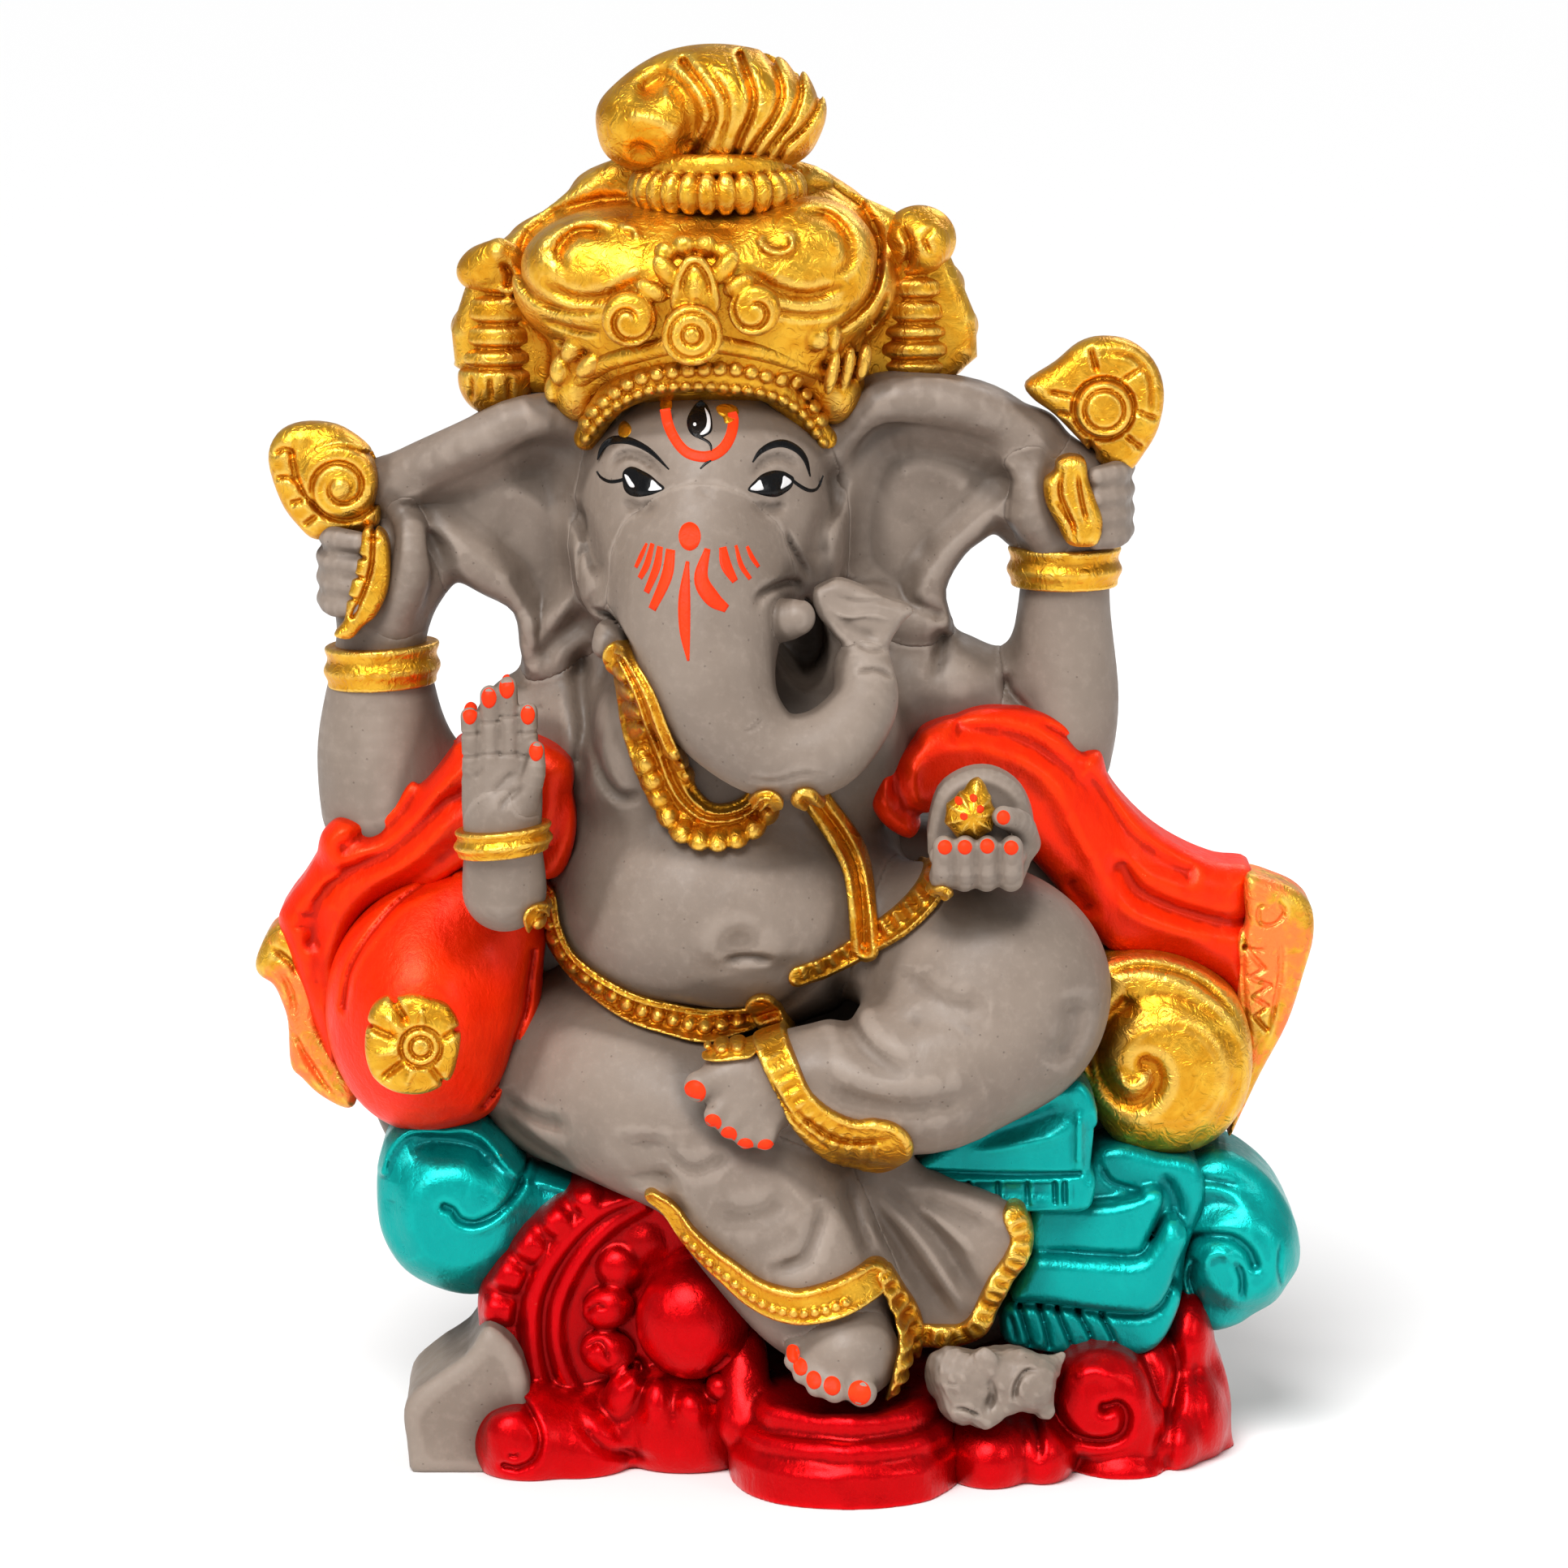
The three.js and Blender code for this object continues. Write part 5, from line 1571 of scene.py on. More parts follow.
blue_scroll = [(-55.5, 61.3), (-57, 58.1), (-59.9, 55.1), (-63.3, 53.1), (-66.2, 52.3), (-69, 53.2),
    (-70.4, 55.1), (-72.1, 55.9)]
piece(
    "right_seat_scroll",
    "teal_paint",
    carved(
        blend(
            5,
            plate([(-86.9, 62), (-86.2, 52), (-84.3, 45.9), (-80.9, 40.6), (-75.8, 37.2), (-70.1, 34.7),
                (-65, 34.4), (-61.4, 37), (-56, 41.5), (-50, 47), (-44, 52), (-43, 57.5), (-50.5, 59.8),
                (-55, 61.4), (-58.4, 66.8), (-62.5, 71.4), (-65, 73), (-72, 73.2), (-79.4, 72.9),
                (-84.4, 69.6)], 8, -20, 6),
            drum((-70, -10, 52.5), 15.5, 14, 7, 2.5),
        ),
        crease([(-85.6, 62.2), (-84.2, 66.6), (-81.4, 70.0), (-78.3, 71.2), (-72.6, 71.0), (-68, 71.3),
            (-64.4, 70.0), (-61.9, 67.6), (-59.7, 64.7), (-57.2, 62.3), (-55, 60.6)], 0.9, -1.4,
            ends=False),
        crease([(-80, 66.6), (-76, 68.2), (-70, 68), (-66, 67), (-63, 64), (-60.6, 61)], 2.2, 2.6),
        crease(blue_scroll, 0.9, 2.0, 0, ends=False),
        crease([(-53.4, 60), (-48.5, 58.4), (-44, 57.0)], 0.8, -1.0),
        crease([(-57.2, 57), (-60.4, 53.8), (-64, 51.6), (-68, 51.2)], 1.2, -0.8),
        crease([(-83, 60), (-83, 52), (-79, 44)], 2.6, 0.9),
    ),
    1.0,
)
LEAF_FLUTES = [33.7, 38.9, 45.1, 51.3, 57.1, 59.2]
piece(
    "left_seat_leaf",
    "teal_paint",
    carved(
        plate([(24.8, 64.6), (31.9, 69.6), (41.1, 75), (50.3, 79.6), (58.4, 83.6), (62.4, 84.6),
            (65.4, 80.6), (66.6, 74), (66.2, 66.8), (65.6, 59.8), (63.6, 56.6), (56.6, 56), (49.2, 56.8),
            (44.3, 56), (38.1, 56.8), (33.1, 58.1), (28.8, 60), (25.7, 62.4)], -3, -33, 2.2),
        crease([(25.7, 65.2), (34.9, 65.0), (44.2, 64.7), (56.5, 64.7), (62.4, 64.9)], 0.6, 1.5,
            ends=False),
        crease([(27.2, 63.5), (38, 63.4), (50.4, 63.4), (62.4, 63.4)], 0.5, -0.6),
        crease([(28, 62.2), (38, 61.6), (50, 61.2), (61.6, 61)], 1.8, 0.9),
        crease([(26.9, 62.6), (29.4, 60.4), (33.7, 58.3), (38.1, 57.5), (45.5, 57.6), (51, 57),
            (58, 57.2)], 0.5, -0.8),
        *creases([[(x, 63), (x + 0.1, 58.6)] for x in LEAF_FLUTES], 0.45, 1.0, ends=False),
        *creases([[(x + 1.0, 63), (x + 1.1, 58.6)] for x in LEAF_FLUTES], 0.4, -0.6, ends=False),
        crease([(62.2, 79), (62.2, 72), (62.2, 65)], 1.0, -1.2),
        crease([(39.9, 72.2), (49.1, 75), (57, 78), (61, 80.6)], 2.4, 2.0),
        crease([(38, 69.4), (47, 71), (56, 72.8), (61, 75.6)], 1.4, -0.8),
        crease([(64.6, 78), (65, 70), (64.4, 62)], 1.4, 1.4),
    ),
    0.9,
)
piece(
    "left_seat_scroll",
    "teal_paint",
    carved(
        blend(
            4,
            plate([(86, 61.6), (91, 65), (96, 64.9), (101.3, 61.6), (105.7, 57.1), (108.9, 51.3),
                (110.4, 45.3), (110.4, 40.1), (108, 36.1), (105.7, 32.2), (101.5, 29.4), (97.6, 26.8),
                (92.3, 25.4), (88.6, 27.2), (86.4, 31), (84.4, 38), (83.6, 46), (84, 54)], 12, -18, 6),
            drum((97.4, -9, 43.5), 11.5, 13, 5, 2),
        ),
        crease([(84.8, 42.4), (86.9, 46.7), (91.2, 48.4), (95.6, 48.2), (98.9, 45.7), (100.4, 42.5)],
            1.2, 2.2, ends=False),
        crease([(95.8, 43.6), (97.4, 41), (97.8, 38), (97.6, 34.4)], 0.8, 1.4),
        crease([(87.6, 42.5), (87.2, 37.3), (88.9, 32.5)], 0.9, 1.6, ends=False),
        crease([(89.2, 41), (90.4, 44.4), (93.4, 45.4), (96, 43.4)], 0.9, -1.0),
        crease([(84.3, 55.3), (88, 57.8), (93, 58), (97.4, 55.9), (101.1, 52.1)], 1.6, -0.9),
        crease([(86, 60), (91.4, 59.6), (97, 58.8)], 0.9, 1.0),
        crease([(106, 48), (105.4, 42), (106.6, 36)], 0.5, 0.6),
    ),
    1.0,
)
ARM_FLUTES = [
    [(50.2, 34), (51.4, 30), (52.6, 26)],
    [(54.4, 34), (55.6, 30), (56.6, 25.6)],
    [(58.2, 33.4), (60, 29), (61.4, 25.6)],
    [(62.6, 33), (65, 28.6), (66.4, 24.6)],
    [(67.6, 32.2), (69.6, 28.6), (71, 25)],
]
piece(
    "left_seat_arm",
    "teal_paint",
    carved(
        blend(
            1.6,
            plate([(62, 56), (66, 66), (72, 68), (80, 66), (88, 64), (90, 56), (86, 44), (84, 30),
                (78, 24), (60, 28), (54, 44)], 2.5, -21, 3),
            plate([(52.4, 46.8), (52.6, 55.8), (58, 56.6), (66, 56.4), (73, 57.4), (77, 59.4),
                (80.6, 59), (79.6, 54), (77.6, 49), (75.4, 46), (68, 45.8), (60, 46.4)], 0, -27.5, 2.4),
            plate([(48.6, 36), (50, 41), (53, 45.8), (58, 46), (66, 45.5), (75, 45.3), (78.4, 48.4),
                (81.4, 53.6), (84.6, 55.4), (85.6, 50), (83.6, 44), (81.8, 38.6), (79.2, 34.6),
                (75.5, 33.2), (66.2, 33.8), (56.9, 35.2)], 0, -30.5, 3.2),
            plate([(46, 30), (47.4, 34.6), (52, 34.8), (58, 34.4), (66, 33.4), (75, 32.6), (79.4, 34.4),
                (82.6, 38.6), (84.6, 36), (82, 28.6), (78.4, 24.4), (72.8, 23.2), (66, 24.4), (60, 23.4),
                (53, 24.6), (47.4, 26.2)], 0, -27.5, 3.0),
        ),
        *creases(ARM_FLUTES, 0.6, 1.6, ends=False),
        crease([(48, 33), (49, 29), (49.6, 26.6)], 0.5, 1.0),
        crease([(66.7, 65), (69.3, 60.4), (73.6, 58.8), (77, 58.2)], 0.9, 1.0),
        crease([(80.4, 62), (83.4, 56), (84, 50)], 1.6, 1.6),
    ),
    1.0,
)
piece(
    "mouse",
    "clay",
    carved(
        blend(
            3.2,
            egg((36.4, -45.5, 24), (6.8, 6.5, 6.6)),
            egg((42.5, -43.5, 22.5), (6, 6, 6)),
            egg((37.4, -48, 18.2), (4.6, 4, 3.4)),
            egg((48, -43, 23.6), (9, 7.5, 6.6), (0, 8, 0)),
            egg((41.9, -49.6, 28.6), (2.1, 1.2, 2.5)),
            egg((33.4, -47.5, 27.6), (2.2, 1.4, 2.6)),
            egg((51.8, -46, 22.2), (4.2, 3.8, 5)),
            limb((54, -44.5, 20, 2.1), (55, -45, 16.6, 1.8)),
            limb((46, -47.5, 18.5, 2), (42.4, -49, 15.8, 1.8)),
            limb((56, -41, 25.4, 1.8), (58.6, -40, 27.4, 0.9)),
        ),
        crease([(35.4, 19), (38.1, 18.8), (41.3, 16.9)], 0.4, 0.9),
        crease([(48.2, 20), (48.6, 23.6), (50.5, 26.2), (53.4, 26.4)], 0.6, 1.2),
        crease([(43, 26), (43.6, 21), (42, 17.6)], 1.0, 0.7),
        wobble(4, 0.6, 12),
        wobble(1.6, 0.25, 13),
        crease([(34, 25), (35.2, 24.2), (36.6, 24.6)], 0.35, 0.4),
    ),
    0.8,
)


def plinth_front(inset):
    """The outline of a step in x and y, drawn in by inset."""
    return [
        (-12 + inset, 0),
        (-12 + inset, -30),
        (-10 + inset, -46),
        (-2 + inset / 2, -57 + inset),
        (14, -62 + inset),
        (29 - inset / 2, -56.5 + inset),
        (37 - inset, -42),
        (38 - inset, -24),
        (38 - inset, 0),
    ]


piece(
    "foot_rest",
    "crimson_paint",
    carved(
        minus(
            blend(
                1.8,
                tier(plinth_front(0), -3, 8.8, 2.8),
                tier(plinth_front(1.8), 4, 13.4, 2.4),
                tier(plinth_front(5.0), 8, 19, 3.0),
                limb((-8, -37, 12, 6), (-9, -32, 23, 5.4), (-9, -26, 33, 4)),
            ),
            egg((12.5, -43, 26), (15.5, 15, 10)),
            2.5,
        ),
        wobble(14, 0.9, 21),
        wobble(5, 0.3, 22),
    ),
    1.0,
)
piece(
    "right_volute",
    "crimson_paint",
    carved(
        blend(2.5, egg((-19.3, -32, 32.6), (12.2, 10, 12.4)), egg((-17, -26, 36), (12.5, 9, 12))),
        crease([(-11.4, 27.6), (-13.4, 24.8), (-16.6, 22.4)], 1.0, 1.4),
        crease([(-28.6, 40), (-24, 44), (-18, 45.4), (-12, 42.6)], 1.2, 0.6),
    ),
    0.9,
)
BLOCKS = [(-38, 59), (-42.8, 57), (-47.4, 53.2), (-51.8, 49.4), (-55.6, 45.3), (-59, 39.8), (-61, 32.3),
    (-61.2, 24.5), (-60.2, 17)]
RIM_ONE = [(-31, 58.8), (-38, 56), (-43.2, 52.2), (-47.8, 47), (-51.2, 41.6), (-53.4, 35.6), (-53.9, 29),
    (-53.2, 21), (-51, 14.4), (-46.5, 8.6)]
RIM_TWO = [(-30, 56.3), (-35.4, 53), (-40, 49), (-43.8, 44.2), (-46.6, 38.9), (-48.4, 33.6), (-48.8, 27),
    (-47.2, 20), (-44, 13.6)]
arch = plate(
    [(-27, 59.5), (-35, 60), (-44, 58.6), (-51.6, 54.6), (-57.9, 48), (-63.1, 41.2), (-65.4, 35.3),
        (-65.2, 28.2), (-66.4, 21), (-68.6, 13.9), (-68, 6), (-66, -3), (-60, -5), (-48, -5), (-40, 0),
        (-32, 3), (-20, 0), (-8, -4), (-7, 12), (-7, 30), (-14, 45), (-22, 55)],
    -3,
    -25,
    4,
)
piece(
    "right_plinth_scroll",
    "crimson_paint",
    carved(
        blend(
            1.6,
            arch,
            band(arch, BLOCKS, 6.8, 2.6,
                lambda a, c: 0.4 - 2.0 * np.abs(np.cos(a * math.pi / 8.0)) ** 4 - 1.4 * np.abs(c) ** 2.5,
                sink=3, soft=1.4, front=-6),
            band(arch, RIM_ONE, 4.6, 2.6, lambda a, c: -1.8 * c**2, sink=3, soft=1.2, front=-6),
            band(arch, RIM_TWO, 4.0, 1.8, lambda a, c: -1.4 * c**2, sink=3, soft=1.2, front=-6),
            egg((-54, -28, 6), (13, 15, 12)),
            egg((-45, -27, 5), (14, 14, 11)),
            egg((-57.6, -38, 9.2), (5.8, 5, 6.4)),
            egg((-67, -24, 10), (3, 5, 6.5)),
            egg((-21, -26, 9), (16, 13, 13)),
            egg((-34, -24, 8), (14, 11, 10)),
            egg((-37.4, -27, 34.2), (5.6, 4, 4.6), (0, -15, 0)),
            egg((-37.6, -27.5, 24.6), (6, 4.4, 4.8), (0, 10, 0)),
            egg((-35, -25, 42.4), (5, 3.4, 4.6), (0, 40, 0)),
            egg((-29.5, -23, 47.4), (4.5, 3.4, 4.6), (0, 60, 0)),
            egg((-34, -31, 16.8), (4.0, 4.6, 6.4), (0, 28, 0)),
            egg((-26.9, -34, 14.6), (3.3, 4.6, 5.8)),
            egg((-19.4, -36.5, 14.4), (3.2, 3.6, 4.2), (0, -20, 0)),
            egg((-13.4, -35.5, 19.2), (3.2, 3.4, 2.8), (0, 30, 0)),
        ),
        crease([(-62.5, 15), (-56.2, 15.8), (-52.9, 12.8), (-51.6, 9), (-52.8, 5.2), (-56.2, 3.2),
            (-59, 3.4)], 0.9, 1.6, ends=False),
        crease([(-58.6, 6.5), (-57, 6), (-55.6, 6.8)], 0.5, 0.8),
        crease([(-44.1, 14), (-41.3, 9.4), (-37.3, 5.9), (-32.7, 4.1), (-26.9, 3.3)], 1.4, 1.2),
        *creases([[(-42.5, 33), (-40, 35.4), (-37.4, 35)],
            [(-42.9, 25.4), (-39, 27.4), (-36.6, 23)]], 0.7, 0.9),
        crease([(-36, 19.5), (-31.6, 22), (-29.8, 19)], 0.8, 1.0),
    ),
    0.9,
)
piece(
    "left_plinth_scroll",
    "crimson_paint",
    carved(
        blend(
            2.2,
            plate([(36, 14), (44, 20), (54, 22), (62, 26), (72, 28), (78, 32), (84, 34), (89, 31),
                (92.6, 23), (95.4, 15), (95.6, 6), (92, -5), (36, -5)], 2, -18, 5),
            drum((67, -22, 15), 12.2, 16, 5, 3.0),
            drum((74, -22, 10), 8.4, 14, 5, 2.0),
            egg((43.5, -31, 5), (11, 18, 11)),
            egg((54.5, -32, 5), (8, 14, 9)),
            egg((72, -26, 0), (12, 14, 8)),
            egg((85.5, -14, 22), (6.4, 10, 12.5), (0, 10, 0)),
            egg((87.6, -13, 9), (8.2, 17, 13), (0, -14, 0)),
            egg((82, -16, 5), (10, 20, 10)),
            egg((78, -16, 14), (9, 14, 14)),
        ),
        crease([(67.8, 15.8), (70.8, 16.2), (72.4, 13.8), (71.6, 9.9), (67.9, 8.2), (62.6, 8.9),
            (58.8, 12.1), (56.8, 17.7), (57.6, 23.2)], 1.4, 2.8, ends=False),
        crease([(61, 22.6), (66, 24), (70.6, 21.6)], 1.6, -0.8),
        crease([(81.6, 29), (84.4, 21), (82.2, 11), (81.4, 1)], 1.6, 1.5, 2, ends=False),
        crease([(87.6, 25), (88, 15), (89.7, 5)], 1.6, 0.8, 2),
        crease([(48.8, 14), (51.1, 15), (53.4, 11.1), (53.8, 5)], 1.0, 1.2),
        crease([(75.4, 25.6), (78.6, 19), (79.8, 10), (78.6, 2)], 1.4, 1.2),
    ),
    1.0,
)


def hollow(p):
    """The hollow under the throne: a box 124 mm wide, 19 mm deep and 73 mm high."""
    return np.maximum(np.maximum(np.abs(p[0] - 8) - 62, np.abs(p[1] - 18.5) - 9.5), p[2] - 73)


piece(
    "throne_back",
    "clay",
    minus(
        carved(
            blend(
                5,
                plate([(-76.5, -6), (-80.5, 7), (-80.5, 15), (-75, 20.5), (-68, 25.5), (-62, 32),
                    (-54, 20), (-56, -6)], 2, -35, 3),
                plate(
                    [(-66, -6), (-66, 10), (-64, 20), (-62, 30), (-66, 40), (-78, 50), (-86, 64),
                        (-92, 80), (-93, 98), (-88, 114), (-70, 126), (-12, 134), (45, 132), (80, 116),
                        (95, 98), (95, 72), (92, 48), (84, 34), (82, 20), (84, -6)],
                    39.8,
                    -3,
                    8,
                ),
            ),
            wobble(30, 0.9, 5),
            wobble(9, 0.25, 8),
        ),
        Form(hollow, (-60, 8, -5), (75, 30, 74)),
        1.5,
    ),
    2.2,
)


# ---------------------------------------------------------------- meshes


def mesh_object(name, verts, faces, **values):
    """A smooth-shaded mesh from vertices in mm and faces that all have as many corners, with a
    number at each vertex for each of the values."""
    mesh = bpy.data.meshes.new(name)
    mesh.vertices.add(len(verts))
    mesh.vertices.foreach_set("co", (np.asarray(verts) * MM).astype(np.float32).ravel())
    mesh.loops.add(faces.size)
    mesh.loops.foreach_set("vertex_index", faces.astype(np.int32).ravel())
    mesh.polygons.add(len(faces))
    mesh.polygons.foreach_set("loop_start", np.arange(0, faces.size, faces.shape[1], dtype=np.int32))
    mesh.update(calc_edges=True)
    mesh.shade_smooth()
    for key, value in values.items():
        attribute = mesh.attributes.new(key, "FLOAT", "POINT")
        attribute.data.foreach_set("value", value.astype(np.float32))
    obj = bpy.data.objects.new(name, mesh)
    bpy.context.scene.collection.objects.link(obj)
    return obj


# ---------------------------------------------------------------- painted marks


def onto(host, x, z):
    """The y at which a line from the front meets host."""
    y = np.full(len(x), -64.0)  # just before the idol
    for _ in range(70):
        d = evaluate(host, np.stack([x, y, z], 1))
        y += np.clip(d * 0.7, -0.5, 3.0)  # shorter than d, because blends understate how near they are
    return np.minimum(y, np.median(y) + 4)  # a point that misses host stays by the others


def ladder(host, left, right, lift):
    """A thin closed patch of paint on host between two lines of [x, z] points."""
    rows, columns = len(left), 5
    t = np.linspace(0, 1, columns)[None, :, None]
    flat = left[:, None, :] * (1 - t) + right[:, None, :] * t
    x, z = flat[..., 0].ravel(), flat[..., 1].ravel()
    y = onto(host, x, z)
    edge = np.zeros((rows, columns))
    edge[0], edge[-1], edge[:, 0], edge[:, -1] = 1, 1, 1, 1
    thinning, sunk = 0.6, 0.35  # how much of its lift a patch loses at its edge; its back's depth
    front = np.stack([x, y - lift * (1 - thinning * edge.ravel()), z], 1)
    back = np.stack([x, y + sunk, z], 1)
    ids = np.arange(rows * columns).reshape(rows, columns)
    face = np.stack([ids[:-1, :-1], ids[:-1, 1:], ids[1:, 1:], ids[1:, :-1]], -1).reshape(-1, 4)
    border = np.concatenate([ids[0, :-1], ids[:-1, -1], ids[-1, :0:-1], ids[:0:-1, 0]])
    after = np.roll(border, -1)
    n = rows * columns
    wall = np.stack([border, border + n, after + n, after], 1)
    faces = np.concatenate([face, face[:, ::-1] + n, wall])
    a = flat.reshape(-1, 2)[face]
    b = np.roll(a, -1, axis=1)
    if (a[..., 0] * b[..., 1] - a[..., 1] * b[..., 0]).sum() < 0:  # the ladder runs clockwise
        faces = faces[:, ::-1]
    return np.concatenate([front, back]), faces


def spot(outline, lift=0.14, host=BODY):
    """A filled outline of [x, z] points, or of an oval (x, z, half width, half height)."""
    if len(outline) == 4 and not hasattr(outline[0], "__len__"):
        x, z, a, b = outline
        eighth = 0.785  # of a turn
        outline = [(x + a * math.cos(i * eighth), z + b * math.sin(i * eighth)) for i in range(8)]
    points = spline(outline, 6, closed=True).astype(float)
    n = len(points) // 2
    steps = np.arange(n) + 0.5
    at = np.arange(len(points) + 1)
    loop = np.vstack([points, points[:1]])
    sides = []
    for where in (steps, len(points) - steps):
        sides.append(np.stack([np.interp(where, at, loop[:, k]) for k in (0, 1)], 1))
    return ladder(host, sides[0], sides[1], lift)


def stripe(points, widths, lift=0.14):
    """A brushed line through [x, z] points, with its width at each."""
    rows = spline([(*p, w) for p, w in zip(points, widths)], 6).astype(float)
    step = np.gradient(rows[:, :2], axis=0)
    side = np.stack([-step[:, 1], step[:, 0]], 1) / np.linalg.norm(step, axis=1, keepdims=True)
    half = side * rows[:, 2:3] / 2
    return ladder(BODY, rows[:, :2] + half, rows[:, :2] - half, lift)


THIRD_EYE = [(-17.2, 227.8), (-18.9, 226.4), (-20.0, 224.6), (-20.1, 223.0), (-19.3, 221.5),
    (-17.7, 220.7), (-16.3, 221.1), (-15.0, 222.0), (-14.9, 223.9), (-15.6, 226.2)]
TILAK = [(-24.7, 226.3), (-24.0, 223.0), (-22.3, 220.0), (-20.2, 218.0), (-17.5, 217.2), (-14.8, 217.4),
    (-12.5, 218.8), (-11.0, 221.2), (-10.5, 223.9), (-10.8, 225.6)]
ORANGE = [
    stripe(TILAK, [2.2, 2.2, 2.1, 2.1, 2.1, 2.1, 2.2, 2.2, 2.2, 1.8]),
    spot((-19.4, 201.8, 2.3, 2.7)),
    stripe([(-23.3, 199.2), (-24.1, 194), (-27.1, 187.3)], [1.9, 2.3, 1.6]),
    stripe([(-25.5, 199.6), (-26.2, 195.6), (-28.3, 190.5)], [1.2, 1.6, 1.2]),
    stripe([(-27.1, 200), (-28.2, 196), (-29.7, 193.1)], [0.9, 1.3, 1.0]),
    stripe([(-28.3, 199.9), (-29.4, 197.5), (-30.6, 195)], [0.5, 0.9, 0.7]),
    stripe([(-15.7, 199.5), (-17.0, 193.9), (-14.8, 190.0), (-11.7, 187.7)], [1.2, 2.9, 3.2, 1.6]),
    stripe([(-12.6, 199.7), (-11.9, 196.3), (-10, 193.0)], [1.5, 2.2, 1.3]),
    stripe([(-9.9, 199.9), (-8.8, 196.1), (-6.9, 193.2)], [0.6, 1.0, 0.8]),
    stripe([(-7.6, 199.5), (-6.6, 197.4), (-5.2, 195.3)], [0.6, 0.9, 0.7]),
    stripe([(-19.8, 197.1), (-20.4, 190.1), (-20.3, 183.4), (-19.6, 177.4)], [0.7, 2.4, 2.2, 0.5]),
]
for x, z, a, b in [
    (-65, 164.4, 1.5, 2.0),
    (-61, 168, 1.6, 2.1),
    (-57.3, 170.1, 1.6, 2.2),
    (-53, 164.4, 1.5, 2.0),
    (-51.3, 156.9, 1.5, 1.9),
    (-18.4, 87.8, 2.3, 2.5),
    (-14.7, 81.5, 1.8, 1.9),
    (-11.4, 79, 1.7, 1.8),
    (-8, 76.6, 1.7, 1.7),
    (-3.8, 76.3, 1.7, 1.6),
    (1.9, 31.3, 1.4, 1.6),
    (3.4, 29.2, 1.5, 1.6),
    (6.2, 27, 1.6, 1.7),
    (10, 26.1, 1.8, 1.8),
    (15.7, 24.6, 2.4, 2.6),
    (33, 139.4, 1.5, 1.5),
    (37.1, 139.4, 1.5, 1.5),
    (41.7, 139.6, 1.5, 1.5),
    (46.6, 139.3, 1.5, 1.5),
    (45, 145.4, 1.4, 1.5),
]:
    ORANGE.append(spot((x, z, a, b)))
MODAK = SHAPES["modak"][0]
for x, z in [(36.9, 145.5), (38.9, 149.1), (40.3, 146.9), (35.9, 148.4)]:
    ORANGE.append(spot((x, z, 0.8, 0.8), host=MODAK))
EYES = [
    [(-33.6, 212.7), (-32.7, 213.9), (-31.4, 214.3), (-29.6, 213.8), (-27.7, 213.0), (-26.1, 211.8),
        (-24.7, 210.6), (-26.8, 209.4), (-28.6, 208.8), (-30.7, 208.4), (-32.4, 208.7), (-33.4, 210.0)],
    [(-7.5, 210.3), (-5.9, 212.1), (-4.4, 213.2), (-2.3, 213.7), (-0.3, 213.4), (1.2, 212.6),
        (2.1, 211.7), (1.6, 210.0), (0.3, 209.0), (-1.4, 208.4), (-3.5, 208.7), (-5.6, 209.4)],
]
BROWS = [
    [(-39.0, 214.7), (-38.1, 217.0), (-36.3, 218.7), (-33.3, 219.4), (-30.3, 218.9), (-27.3, 217.4),
        (-23.8, 214.4)],
    [(-6.5, 215.7), (-5.0, 217.6), (-2.6, 218.8), (0.0, 218.9), (2.7, 217.5), (4.5, 215.2), (5.5, 211.7)],
]
BROW_WIDTHS = [0.3, 1.0, 1.4, 1.5, 1.3, 1.0, 0.3]
BLACK = [
    spot(THIRD_EYE, 0.16),
    stripe([(-17.6, 220.9), (-16.0, 220.2), (-15.2, 219.4), (-15.0, 218.2)], [0.5, 0.5, 0.5, 0.3], 0.18),
    stripe([(-17.3, 214.8), (-16.2, 215.8), (-15.0, 216.5)], [0.3, 0.5, 0.4]),
    *[stripe(line, BROW_WIDTHS) for line in BROWS],
    *[spot(outline) for outline in EYES],
    stripe([(-39.2, 212.4), (-38.2, 211.3), (-36.4, 210.8), (-34.3, 211.2), (-33.0, 211.8)],
        [0.3, 0.6, 0.7, 0.7, 0.6]),
    stripe([(1.3, 211.8), (3.3, 210.1), (5.4, 208.9), (7.1, 209.1), (8.2, 211.5)],
        [0.6, 0.7, 0.7, 0.6, 0.3]),
]
WHITE = [
    spot([(-16.5, 226.4), (-15.5, 225.1), (-15.2, 223.5), (-15.5, 222.1), (-16.6, 221.4), (-17.5, 221.5),
        (-16.4, 222.7), (-16.0, 224.0), (-16.2, 225.2)], 0.26),
    # a painted highlight: a white glint on the black third eye
    spot((-18.5, 223.3, 0.35, 0.4), 0.26),
    spot([(-33.2, 212.6), (-32.4, 212.4), (-31.7, 211.5), (-31.0, 210.4), (-31.9, 210.1),
        (-32.7, 211.1)], 0.26),
    spot([(-27.4, 212.1), (-26.2, 211.3), (-25.1, 210.5), (-26.5, 210.1), (-28.2, 209.9),
        (-27.8, 210.8)], 0.26),
    spot([(-7.0, 210.4), (-5.9, 211.5), (-4.9, 212.1), (-4.6, 211.2), (-4.2, 210.1), (-5.6, 209.9)],
        0.26),
    spot([(-0.1, 212.4), (0.9, 212.0), (1.7, 211.3), (1.1, 210.6), (-0.7, 209.8), (-0.4, 211.1)], 0.26),
]
